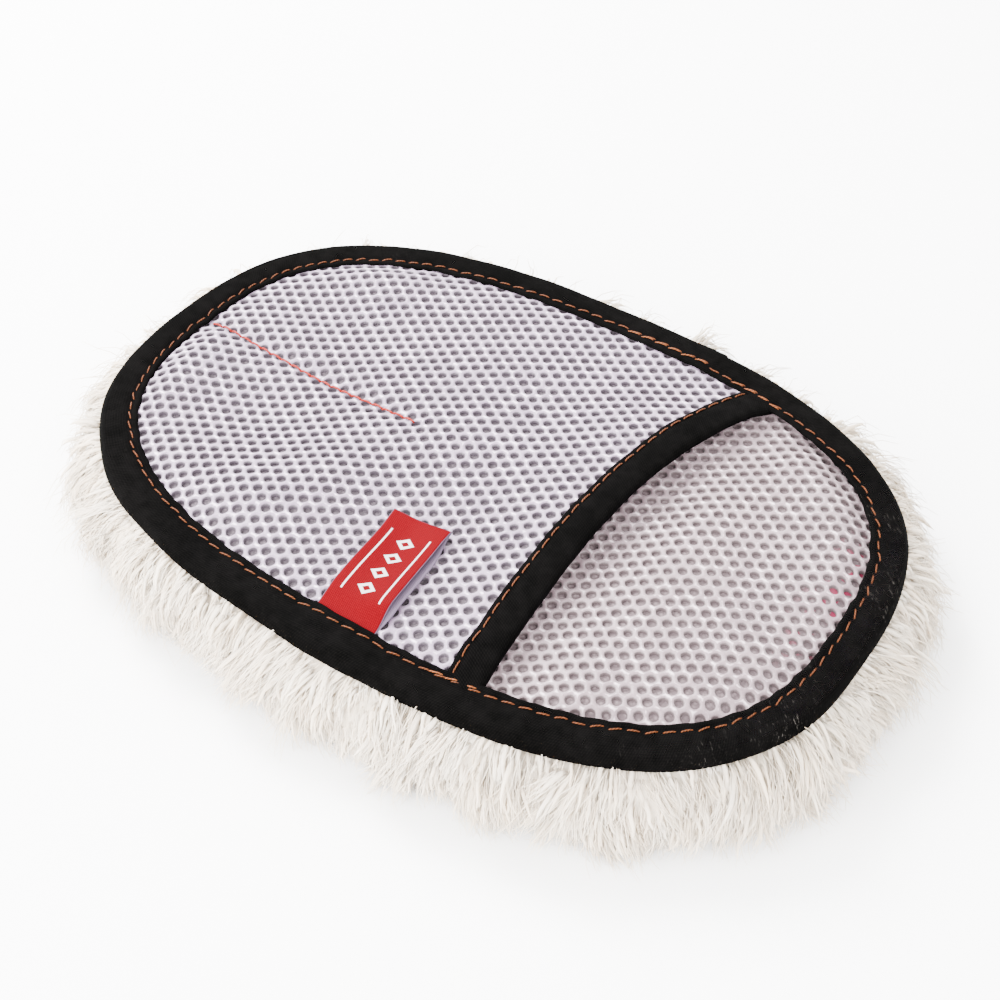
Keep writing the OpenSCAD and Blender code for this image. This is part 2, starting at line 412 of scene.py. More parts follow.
def mix(tree, factor, a, b):
    """A colour between a and b."""
    n = tree.nodes.new("ShaderNodeMix")
    n.data_type = "RGBA"
    for i, value in ((0, factor), (6, a), (7, b)):
        if isinstance(value, bpy.types.NodeSocket):
            tree.links.new(value, n.inputs[i])
        else:
            n.inputs[i].default_value = (*value, 1) if i and len(value) == 3 else value
    return n.outputs[2]


def ramp(tree, value, low, high, to_low=0.0, to_high=1.0):
    return add(
        tree,
        "ShaderNodeMapRange",
        {"Value": value, "From Min": low, "From Max": high, "To Min": to_low, "To Max": to_high},
        clamp=True,
    ).outputs[0]


def group(name, inputs, outputs):
    """An empty node group with float or vector sockets, and its input and output nodes."""
    tree = bpy.data.node_groups.new(name, "ShaderNodeTree")
    for label, kind, value in inputs:
        s = tree.interface.new_socket(name=label, in_out="INPUT", socket_type="NodeSocket" + kind)
        if value is not None:
            s.default_value = value
    for label, kind in outputs:
        tree.interface.new_socket(name=label, in_out="OUTPUT", socket_type="NodeSocket" + kind)
    return tree, tree.nodes.new("NodeGroupInput"), tree.nodes.new("NodeGroupOutput")


def weave_group():
    """Crossing ribs from two running lengths in metres: height = 0.25 sin(warp) + 0.15 sin(weft) + fine
    noise."""
    tree, i, o = group(
        "Mitt weave",
        [("Along", "Float", 0.0), ("Across", "Float", 0.0), ("Ribs", "Float", 9000.0), ("Slant", "Float", 0.4), ("Vector", "Vector", None)],
        [("Height", "Float")],
    )
    turns = maths(tree, "MULTIPLY", i.outputs["Along"], i.outputs["Ribs"])
    turns2 = maths(tree, "MULTIPLY", i.outputs["Across"], i.outputs["Ribs"])
    warp = maths(tree, "SINE", maths(tree, "ADD", turns, maths(tree, "MULTIPLY", turns2, i.outputs["Slant"])))
    weft = maths(tree, "SINE", turns2)
    fuzz = grain_of(tree, i.outputs["Vector"], 2600.0, 3.0)
    height = maths(tree, "MULTIPLY_ADD", warp, 0.25, maths(tree, "MULTIPLY_ADD", weft, 0.15, fuzz))
    tree.links.new(height, o.inputs["Height"])
    return tree


def patches_group():
    """Soft uneven patches: two sizes of noise multiplied and spread over 0 to 1."""
    tree, i, o = group("Mitt patches", [("Vector", "Vector", None), ("Scale", "Float", 40.0)], [("Mask", "Float")])
    a = grain_of(tree, i.outputs["Vector"], i.outputs["Scale"], 3.0)
    b = add(
        tree, "ShaderNodeTexNoise",
        {"Vector": i.outputs["Vector"], "Scale": maths(tree, "MULTIPLY", i.outputs["Scale"], 4.3), "Detail": 2.0},
    ).outputs["Fac"]
    tree.links.new(ramp(tree, maths(tree, "MULTIPLY", a, b), 0.14, 0.38), o.inputs["Mask"])
    return tree


def lint_group():
    """Fine pale fibres that have settled: stretched noise kept only at its peaks, thicker where patches are
    high."""
    tree, i, o = group("Mitt lint", [("Vector", "Vector", None), ("Amount", "Float", 0.5)], [("Mask", "Float")])
    turned = add(tree, "ShaderNodeVectorRotate", {"Vector": i.outputs["Vector"], "Angle": 0.7}).outputs[0]
    long = add(tree, "ShaderNodeVectorMath", {0: turned, 1: (260.0, 2400.0, 900.0)}, operation="MULTIPLY").outputs[0]
    hair = add(tree, "ShaderNodeTexNoise", {"Vector": long, "Scale": 1.0, "Detail": 2.0, "Distortion": 1.2}).outputs["Fac"]
    area = grain_of(tree, i.outputs["Vector"], 55.0, 2.0)
    keep = maths(tree, "MULTIPLY", ramp(tree, hair, 0.66, 0.74), ramp(tree, area, 0.46, 0.62))
    tree.links.new(maths(tree, "MULTIPLY", keep, i.outputs["Amount"]), o.inputs["Mask"])
    return tree


SHARED = {}


def shared(name, maker):
    if name not in SHARED:
        SHARED[name] = maker()
    return SHARED[name]


def use(tree, name, maker, inputs):
    n = tree.nodes.new("ShaderNodeGroup")
    n.node_tree = shared(name, maker)
    for key, value in inputs.items():
        if isinstance(value, bpy.types.NodeSocket):
            tree.links.new(value, n.inputs[key])
        else:
            n.inputs[key].default_value = value
    return n.outputs[0]


def start(name, roughness, **inputs):
    """A Principled material, its tree, its shader and its Object coordinates."""
    if name in SHARED:
        return SHARED[name], None, None, None
    m = bpy.data.materials.new(name)
    m.use_nodes = True
    tree = m.node_tree
    shader = tree.nodes["Principled BSDF"]
    shader.inputs["Roughness"].default_value = roughness
    for key, value in inputs.items():
        shader.inputs[key.replace("_", " ")].default_value = value
    SHARED[name] = m
    return m, tree, shader, add(tree, "ShaderNodeTexCoord").outputs["Object"]


def relief(tree, shader, height, distance, strength=1.0):
    tree.links.new(
        add(tree, "ShaderNodeBump", {"Height": height, "Distance": distance, "Strength": strength}).outputs["Normal"],
        shader.inputs["Normal"],
    )


def mark(tree, name):
    return add(tree, "ShaderNodeAttribute", attribute_name=name).outputs["Fac"]


def strand_material(name, grey, pale, crest, deep):
    """Satin polyester strands, ribbed like their filaments: a painted highlight along the crest, tinted on the
    shoulders, and painted shade down the holes."""
    m, tree, shader, place = start(name, 0.42, Sheen_Weight=0.15, Specular_IOR_Level=0.5)
    if tree:
        # The depth mark from net() places the painted highlight on the crest and the painted shade down the holes.
        low = mark(tree, "depth")
        patch = use(tree, "patches", patches_group, {"Vector": place, "Scale": 26.0})
        long = add(tree, "ShaderNodeVectorMath", {0: place, 1: (1.0, 2.2, 1.0)}, operation="MULTIPLY").outputs[0]
        grain = grain_of(tree, long, 1500.0, 3.0)
        side = mix(tree, patch, grey, pale)
        shade = tuple(0.72 * c for c in grey)
        side = mix(tree, ramp(tree, grain, 0.3, 0.62, 0.5, 0.0), side, shade)
        # Noise that breaks the crest's painted highlight into patches.
        highlight_mottle = grain_of(tree, place, 420.0, 1.0)
        shine = maths(tree, "ADD", low, ramp(tree, highlight_mottle, 0.4, 0.62, 0.17, 0.0))
        # Crest colour: a painted highlight over the strands' own tint.
        colour = mix(tree, ramp(tree, shine, 0.0, 0.22), crest, side)
        # Hole walls and feet: the deep colour is painted shade.
        colour = mix(tree, ramp(tree, low, 0.36, 0.9), colour, deep)
        tree.links.new(colour, shader.inputs["Base Color"])
        tree.links.new(ramp(tree, grain, 0.3, 0.7, 0.34, 0.58), shader.inputs["Roughness"])
        relief(tree, shader, grain, 0.00022, 0.7)
    return m


def net_material():
    # The crest colour is a painted highlight, and the last colour is painted shade down the holes.
    return strand_material("net_strands", (0.155, 0.105, 0.160), (0.215, 0.155, 0.222), (0.80, 0.68, 0.80), (0.047, 0.034, 0.046))


def palm_net_material():
    """The same net, warmer and paler over the cream hide."""
    # The crest colour is a painted highlight, and the last colour is painted shade down the holes.
    return strand_material("palm_strands", (0.145, 0.098, 0.110), (0.20, 0.142, 0.155), (0.72, 0.60, 0.63), (0.070, 0.049, 0.052))


def ground_material(name, dark, pale, specks=False):
    """Fine knitted back of the spacer mesh, seen at the bottom of the holes. Near the wrist end red fibres
    show through it."""
    m, tree, shader, place = start(name, 0.85)
    if tree:
        knit = add(tree, "ShaderNodeTexVoronoi", {"Vector": place, "Scale": 900.0}).outputs["Distance"]
        colour = mix(tree, ramp(tree, knit, 0.1, 0.6), pale, dark)
        if specks:
            parts = add(tree, "ShaderNodeSeparateXYZ", {0: place}).outputs
            near_end = maths(
                tree, "MULTIPLY",
                ramp(tree, parts["X"], 0.099, 0.109),
                maths(tree, "MULTIPLY", ramp(tree, parts["Y"], -0.02, 0.0), ramp(tree, parts["Y"], 0.046, 0.03)),
            )
            spot = grain_of(tree, place, 260.0, 2.0)
            colour = mix(tree, maths(tree, "MULTIPLY", near_end, ramp(tree, spot, 0.5, 0.56)), colour, (0.17, 0.006, 0.035))
        tree.links.new(colour, shader.inputs["Base Color"])
        relief(tree, shader, knit, 0.0003, 0.6)
    return m


def tape_material():
    """Black woven tape: a fine slanted rib, faintly grey fuzz, and pale lint that gathers at the wrist
    end."""
    m, tree, shader, place = start("black_tape", 0.95, Specular_IOR_Level=0.012)
    if tree:
        weave = use(
            tree, "weave", weave_group,
            {"Along": mark(tree, "along"), "Across": mark(tree, "across"), "Ribs": 8200.0, "Slant": 0.55, "Vector": place},
        )
        patch = use(tree, "patches", patches_group, {"Vector": place, "Scale": 60.0})
        colour = mix(tree, patch, (0.0002, 0.0002, 0.0002), (0.0011, 0.0010, 0.0010))
        colour = mix(tree, ramp(tree, weave, 0.35, 0.9, 0.0, 0.3), colour, (0.0045, 0.0040, 0.0036))
        end = ramp(tree, add(tree, "ShaderNodeSeparateXYZ", {0: place}).outputs["X"], 0.085, 0.122, 0.01, 0.2)
        lint = use(tree, "lint", lint_group, {"Vector": place, "Amount": end})
        tree.links.new(mix(tree, lint, colour, (0.22, 0.20, 0.18)), shader.inputs["Base Color"])
        relief(tree, shader, weave, 0.00010, 0.6)
    return m


def thread_material(name, dark, pale, roughness=0.4):
    """Plied thread: diagonal bands from the length and the angle round it, a painted highlight on the crest of each
    ply and painted shade between the plies."""
    m, tree, shader, place = start(name, roughness, Specular_IOR_Level=0.08)
    if tree:
        ply = maths(tree, "SINE", mark(tree, "ply"))
        fibre = grain_of(tree, place, 1800.0, 2.0)
        tone = maths(tree, "MULTIPLY_ADD", ply, 0.32, fibre)
        # The pale colour on the ply crests is a painted highlight, the dark one in between painted shade.
        tree.links.new(mix(tree, ramp(tree, tone, 0.2, 0.85), dark, pale), shader.inputs["Base Color"])
        relief(tree, shader, tone, 0.00012, 0.8)
    return m


def copper_material():
    # The thread's own copper, dark as painted shade between the plies and pale as a painted highlight on them.
    return thread_material("copper_thread", (0.022, 0.0054, 0.0014), (0.095, 0.0275, 0.0078))


def label_material():
    """Red satin ribbon with fine cross ribs, pale selvedges, and a plain woven row of lozenges between two
    pinstripes."""
    m, tree, shader, place = start("red_ribbon", 0.55, Specular_IOR_Level=0.01)
    if tree:
        along, across = mark(tree, "along"), mark(tree, "across")
        weave = use(
            tree, "weave", weave_group,
            {"Along": across, "Across": along, "Ribs": 11000.0, "Slant": 0.1, "Vector": place},
        )
        red = mix(tree, ramp(tree, weave, 0.3, 0.95), (0.052, 0.0001, 0.0014), (0.083, 0.0001, 0.0022))
        # Lozenge outline: |x| + 0.75 |y| between about 1.1 and 2.3 mm, repeated every 6.5 mm along the ribbon.
        step = 0.0065
        frac = maths(tree, "ABSOLUTE", maths(tree, "SUBTRACT", maths(tree, "FRACT", maths(tree, "DIVIDE", along, step)), 0.5))
        dist = maths(tree, "ADD", maths(tree, "MULTIPLY", frac, step), maths(tree, "MULTIPLY", maths(tree, "ABSOLUTE", across), 0.75))
        lozenge = ramp(tree, dist, 0.0024, 0.0022)
        inside = ramp(tree, dist, 0.0010, 0.0012)
        motif = maths(tree, "MULTIPLY", lozenge, inside)
        span = maths(tree, "MULTIPLY", ramp(tree, along, 0.0064, 0.0066), ramp(tree, along, 0.0326, 0.0324))
        pin = maths(tree, "ABSOLUTE", maths(tree, "SUBTRACT", maths(tree, "ABSOLUTE", across), 0.0066))
        pin = ramp(tree, pin, 0.00032, 0.00022)
        white = maths(tree, "MULTIPLY", maths(tree, "MAXIMUM", motif, pin), span)
        red = mix(tree, white, red, (0.42, 0.38, 0.375))
        side = maths(tree, "MAXIMUM", ramp(tree, maths(tree, "ABSOLUTE", across), 0.00965, 0.0099), mark(tree, "pale"))
        tree.links.new(mix(tree, side, red, (0.08, 0.062, 0.09)), shader.inputs["Base Color"])
        relief(tree, shader, weave, 0.00012, 0.6)
    return m


def wool_material():
    """Cream wool: nearly white tips, darker and warmer towards the roots as painted shade, each lock and fibre a little
    different.
    Fibres let some light through, and their normals lean towards the fleece's own surface, as a soft mass of fine hairs
    is lit."""
    m, tree, shader, place = start("lambswool", 0.75, Sheen_Weight=0.2, Sheen_Roughness=0.45, Specular_IOR_Level=0.2)
    if tree:
        tint, tip = mark(tree, "tint"), mark(tree, "tip")
        patch = use(tree, "patches", patches_group, {"Vector": place, "Scale": 45.0})
        pale = mix(tree, tint, (0.985, 0.865, 0.71), (0.995, 0.925, 0.82))
        pale = mix(tree, maths(tree, "MULTIPLY", patch, 0.3), pale, (0.97, 0.84, 0.68))
        # Towards the roots the colour goes darker and warmer: painted shade inside the fleece.
        colour = mix(tree, ramp(tree, tip, 0.0, 0.5), (0.95, 0.83, 0.67), pale)
        tree.links.new(colour, shader.inputs["Base Color"])
        streak = grain_of(tree, place, 900.0, 3.0)
        relief(tree, shader, streak, 0.0003, 0.4)
        bumped = shader.inputs["Normal"].links[0].from_socket
        whole = add(tree, "ShaderNodeAttribute", attribute_name="fluff").outputs["Vector"]
        turned = add(
            tree, "ShaderNodeVectorTransform", {"Vector": whole}, vector_type="NORMAL", convert_from="OBJECT", convert_to="WORLD"
        ).outputs[0]
        mass = add(tree, "ShaderNodeVectorMath", {0: turned, 1: (3.0, 3.0, 3.0)}, operation="MULTIPLY").outputs[0]
        sum_of = add(tree, "ShaderNodeVectorMath", {0: bumped, 1: mass}, operation="ADD").outputs[0]
        normal = add(tree, "ShaderNodeVectorMath", {0: sum_of}, operation="NORMALIZE").outputs[0]
        tree.links.new(normal, shader.inputs["Normal"])
        through = add(tree, "ShaderNodeBsdfTranslucent", {"Color": colour})
        both = add(tree, "ShaderNodeMixShader", {0: 0.5, 1: shader.outputs[0], 2: through.outputs[0]})
        tree.links.new(both.outputs[0], tree.nodes["Material Output"].inputs["Surface"])
    return m


def hide_material():
    """Pale suede: mottled tan with a fine nap."""
    m, tree, shader, place = start("suede", 0.9)
    if tree:
        patch = use(tree, "patches", patches_group, {"Vector": place, "Scale": 70.0})
        nap = grain_of(tree, place, 1400.0, 4.0)
        tree.links.new(mix(tree, patch, (0.52, 0.44, 0.37), (0.66, 0.58, 0.50)), shader.inputs["Base Color"])
        relief(tree, shader, nap, 0.0004, 0.6)
    return m


# ---- wool ----------------------------------------------------------------------------


class MITT_OT_fleece(bpy.types.Operator):
    """Build the wool: a lumpy core, locks round its side, and short locks pressed flat underneath"""

    bl_idname = "mitt.fleece"
    bl_label = "Lambswool"

    def execute(self, context):
        pad, wool = Pad(context.scene), context.scene.mitt_fleece
        rng = np.random.default_rng(pad.seed)
        core = self.core(pad, wool, rng)
        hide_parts("wool_pile")
        for piece in [core, *self.side_locks(pad, wool, rng), *self.under_locks(pad, wool, rng)]:
            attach(piece, "pad")
        return {"FINISHED"}

    def profile(self, pad, wool, v):
        """Outset and height of the core's side at v, from 0 under the tape to 1 on the floor: a half oval
        that bulges by 0.66 of the spread."""
        angle = math.pi * v
        out = -3.0 + (wool.spread * 660 + 3.0) * np.sin(angle) ** 0.8 * (1 - 0.12 * v)
        z = 1.9 + (pad.low - 2.2) * (0.5 + 0.5 * np.cos(angle))
        return out, z

    def core(self, pad, wool, rng):
        """Closed cushion: the profile swept round the outline, with lumps of 1.1 mm, and lids that shrink
        the outline to the middle."""
        p, n, s, total = pad.outline(360)
        q = TAU * s / total
        rings, tips = [], []
        lumps = [loop_waves(q, rng, 25, 90, 9) for _ in range(4)]
        side = 16
        for k in range(side + 1):
            v = k / side
            out, z = self.profile(pad, wool, np.full(len(q), v))
            lump = 1.1 * (lumps[0] * math.cos(3 * v) + lumps[1] * math.sin(3 * v)) * math.sin(math.pi * min(1, v + 0.08))
            rings.append(np.column_stack([p + n * (out + lump)[:, None], z + 0 * q]))
            tips.append(np.full(len(q), 0.25))
        inner = 26
        for k in range(1, inner + 1):
            f = 1 - (k / inner) ** 1.15
            flat = rings[side][:, :2] * f
            z = 2.3 + 0.9 * (np.sin(flat[:, 0] / 4.1 + 1.7 * np.sin(flat[:, 1] / 9)) * np.sin(flat[:, 1] / 3.7 + np.sin(flat[:, 0] / 11))) ** 2 * min(1, k / 3)
            rings.append(np.column_stack([flat, z]))
            tips.append(np.full(len(q), 0.4))
        top = []
        for k in range(1, inner + 1):
            f = 1 - (k / inner) ** 1.15
            z = pad.low - 0.3 + (0.8 if k > 1 else 0.0)
            top.append(np.column_stack([rings[0][:, :2] * f, np.full(len(q), z)]))
        rings = np.array(top[::-1] + rings)
        # The core's low tip marks give it the darker root colour, painted shade under the locks.
        tips = np.concatenate([np.zeros(len(q) * inner), np.concatenate(tips)])
        whole = rings / np.array([pad.a, pad.b, 12.0]) - np.array([0, 0, 1.0])
        faces = grid(len(rings), len(q), close_columns=True)
        points = rings.reshape(-1, 3)
        return make(
            "fleece_core", points, outward(points, [faces]), wool_material(),
            {
                "tip": tips, "tint": 0.5 + 0.3 * rng.standard_normal(len(points)),
                "fluff": (whole / np.linalg.norm(whole, axis=-1, keepdims=True)).reshape(-1, 3),
            },
        )

    def strands(self, rng, lock, per_lock, spread, radius, steps, floor):
        """Fibre bundles of many locks: each bends from its lean down by droop, gathers towards its lock's tip, and crimps a little.
        With one to a lock and no spread it is the lock's middle line."""
        locks = len(lock["root"])
        t = np.linspace(0, 1, steps)[None, None]
        loose = 0.0 if per_lock == 1 else 1.0 if per_lock > 4 else 0.7
        noise = lambda size: loose * rng.normal(0, size, (locks, per_lock, 1))
        length = lock["length"][:, None, None]
        angle = lock["lean"][:, None, None] + noise(0.2) - (lock["droop"][:, None, None] + noise(0.3)) * t
        long = length * (1 + loose * rng.uniform(-0.36, 0.16, (locks, per_lock, 1))) / (steps - 1)
        start_at = np.zeros((locks, per_lock, 1))
        go_out = np.concatenate([start_at, np.cumsum((long * np.cos(angle))[:, :, 1:], axis=2)], axis=2)
        go_up = np.concatenate([start_at, np.cumsum((long * np.sin(angle))[:, :, 1:], axis=2)], axis=2)
        go_side = (lock["drift"][:, None, None] + noise(0.16)) * length * t**1.4
        r = spread * np.sqrt(rng.random((locks, per_lock)))[:, :, None]
        a = rng.uniform(0, TAU, (locks, per_lock))[:, :, None]
        gather = 1 - 0.5 * t**1.4
        crimp = loose * 0.45 * np.sin(TAU * (rng.uniform(1.0, 2.6, (locks, per_lock, 1)) * t + rng.random((locks, per_lock, 1)))) * t**0.5
        du = r * np.cos(a) * gather + go_side + crimp
        dv = r * np.sin(a) * gather + 0.6 * crimp[:, ::-1]
        up = np.array([0, 0, 1.0])
        lines = (
            lock["root"][:, None, None]
            + lock["out"][:, None, None] * (go_out + 0.35 * dv)[..., None]
            + lock["side"][:, None, None] * du[..., None]
            + up * (go_up + dv)[..., None]
        )
        lowest = floor + loose * rng.uniform(0, 1.1, (locks, per_lock, 1))
        lines[..., 2] = lowest + np.log1p(np.exp(np.minimum((lines[..., 2] - lowest) / 0.5, 60))) * 0.5
        thick = radius * (1 + loose * rng.uniform(-0.3, 0.25, (locks, per_lock, 1))) * np.ones_like(t)
        tint = np.clip(lock["tint"][:, None] + 0.2 * loose * rng.standard_normal((locks, per_lock)), 0, 1)
        return lines.reshape(-1, steps, 3), thick.reshape(-1, steps), tint.reshape(-1)

    def grow(self, name, rng, lock, per_lock, bodies, spread, radius, floor, tip_from):
        """One piece of wool: a few soft tapered bodies for each lock, and fine fibres all round them."""
        steps, rings, sides = 5, 6, 5
        t = np.linspace(0, 1, rings)
        shorter = {**lock, "length": lock["length"] * 0.86}
        lines, _, tint = self.strands(rng, shorter, bodies, spread * 0.8, 1.0, rings, floor + 0.5)
        body = spread * 0.23 * np.interp(t, [0, 0.15, 0.45, 0.75, 0.92, 1], [0.8, 1.0, 0.95, 0.62, 0.3, 0.05])
        long = np.repeat(lock["length"], bodies)[:, None]
        body = body[None] * rng.uniform(0.7, 1.25, (len(lines), 1)) * np.minimum(1, long / 8)
        body = np.minimum(body, np.maximum(lines[..., 2] - 0.05, 0.2))
        points, faces, share = tubes(lines, body, sides)
        tips, tints = [0.8 * share], [np.repeat(tint, rings * sides)]
        fluff = [np.repeat(lock["fluff"], bodies * rings * sides, axis=0)]
        lines, thick, tint = self.strands(rng, lock, per_lock, spread, radius, steps, floor)
        thick = thick * (1 - 0.8 * np.linspace(0, 1, steps)[None] ** 2.2) + 0.015
        more, more_faces, share = tubes(lines, thick, 3)
        faces = [*faces, *(f + len(points) for f in more_faces)]
        tips.append(share)
        tints.append(np.repeat(tint, steps * 3))
        fluff.append(np.repeat(np.repeat(lock["fluff"], per_lock, axis=0), steps * 3, axis=0))
        points = np.concatenate([points, more])
        points[:, 2] = np.maximum(points[:, 2], 0.02)
        return make(
            name, points, faces, wool_material(),
            {
                "tip": tip_from + (1 - tip_from) * np.concatenate(tips),
                "tint": np.concatenate(tints),
                "fluff": np.concatenate(fluff),
            },
        )

    def side_locks(self, pad, wool, rng):
        """Locks rooted all over the core's side. The top ones lean out and hang over, and the low ones lie
        along the floor."""
        made = []
        outline, normal, run, total = pad.outline(4000)
        layers, around = 7, int(total / (wool.lock_gap * 1000))
        for sector in range(wool.sectors):
            lo, hi = sector / wool.sectors, (sector + 1) / wool.sectors
            ks = np.arange(math.ceil(lo * around), math.ceil(hi * around))
            k = np.tile(ks, layers)
            layer = np.repeat(np.arange(layers), len(ks))
            f = (k + 0.5 * (layer % 2) + rng.uniform(-0.35, 0.35, len(k))) / around % 1
            i = (f * len(outline)).astype(int) % len(outline)
            v = np.clip((layer + rng.uniform(-0.4, 0.4, len(k)) + 0.35) / (layers + 0.3), 0.02, 1) * 0.86
            out, z = self.profile(pad, wool, v)
            n = np.column_stack([normal[i], np.zeros(len(i))])
            # Longer and shorter locks come in groups of three sizes, about 36, 18 and 9 mm long.
            tuft = 1 + 0.20 * np.sin(run[i] / 5.7 + 2 * np.sin(run[i] / 23)) + 0.13 * np.sin(run[i] / 2.9 + layer)
            tuft = tuft + 0.12 * np.sin(run[i] / 1.4 + 1.7 * layer)
            up = 0.75 - 0.9 * v
            lock = {
                "root": np.column_stack([outline[i] + normal[i] * (out - 2.2)[:, None], z]),
                "out": n,
                "side": np.column_stack([-normal[i][:, 1], normal[i][:, 0], np.zeros(len(i))]),
                "lean": 0.50 - 1.28 * v + rng.normal(0, 0.16, len(k)),
                "droop": 2.0 - 1.2 * v + rng.normal(0, 0.25, len(k)),
                "drift": 0.28 * np.sin(run[i] / 8.3 + 1.5 * np.sin(run[i] / 31) + 0.5 * layer) + rng.normal(0, 0.13, len(k)),
                "length": (15.0 - 6.8 * v) * tuft * rng.uniform(0.8, 1.15, len(k)),
                "tint": np.clip(0.55 + 0.3 * rng.standard_normal(len(k)), 0, 1),
                "fluff": np.column_stack([n[:, :2] * np.cos(up)[:, None], np.sin(up)]),
            }
            made.append(self.grow(f"fleece_side_{sector + 1:02d}", rng, lock, wool.fibres, 4, 2.7, 0.14, 0.15, 0.3))
        return made

    def under_locks(self, pad, wool, rng):
        """Locks over the whole underside, combed outwards in swirls and pressed flat by the pad's weight."""
        gap, made = 6.0, []
        x, y = np.meshgrid(np.arange(-pad.a, pad.a, gap), np.arange(-pad.b, pad.b, gap * 0.87))
        x = x + (np.arange(len(x)) % 2)[:, None] * gap / 2
        x, y = (x + rng.uniform(-1.6, 1.6, x.shape)).ravel(), (y + rng.uniform(-1.6, 1.6, y.shape)).ravel()
        keep = pad.share(x, y) < 1.02
        x, y = x[keep], y[keep]
        heading = np.arctan2(y, x) + 1.1 * np.sin(x / 31) * np.cos(y / 24) + rng.normal(0, 0.5, len(x))
        for half, pick in (("near", y < 0), ("far", y >= 0)):
            h, count = heading[pick], int(pick.sum())
            lock = {
                "root": np.column_stack([x[pick], y[pick], np.full(count, 4.4)]),
                "out": np.column_stack([np.cos(h), np.sin(h), 0 * h]),
                "side": np.column_stack([-np.sin(h), np.cos(h), 0 * h]),
                "lean": rng.normal(-0.62, 0.12, count),
                "droop": rng.normal(-0.55, 0.15, count),
                "drift": rng.normal(0, 0.25, count),
                "length": rng.uniform(8.0, 12.0, count),
                "tint": np.clip(0.5 + 0.3 * rng.standard_normal(count), 0, 1),
                "fluff": np.column_stack([0.35 * np.cos(h), 0.35 * np.sin(h), np.full(count, -0.94)]),
            }
            made.append(self.grow(f"fleece_under_{half}", rng, lock, 4, 3, 3.6, 0.2, 0.1, 0.3))
        return made


# ---- hide and meshes -------------------------------------------------------------------


def slab(name, pad, inset, low, high, material, rings, count):
    """A closed oval sheet. low and high give the heights of its two faces at (x, y)."""
    p, n, _, _ = pad.outline(count)
    edge = p - n * inset
    shrink = np.linspace(0, 1, rings) ** 0.9
    flat = edge[None] * shrink[:, None, None]
    top = np.concatenate([flat, high(flat[..., 0], flat[..., 1])[..., None]], axis=2)
    under = np.concatenate([flat, low(flat[..., 0], flat[..., 1])[..., None]], axis=2)[::-1]
    points = np.concatenate([top, under]).reshape(-1, 3)
    return make(name, points, outward(points, [grid(2 * rings, count, close_columns=True)]), material)


class MITT_OT_hide(bpy.types.Operator):
    """Build the suede skin that the wool grows from, between the wool and the palm's mesh"""

    bl_idname = "mitt.hide"
    bl_label = "Hide"

    def execute(self, context):
        pad = Pad(context.scene)
        flat = lambda z: lambda x, y: z + 0.8 * ease((9 - pad.inset(x, y)) / 3)
        hide = slab("hide_sheet", pad, 2.6, flat(pad.low), flat(pad.low + 0.6), hide_material(), rings=30, count=120)
        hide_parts("hide_backing")
        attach(hide, "pad")
        return {"FINISHED"}


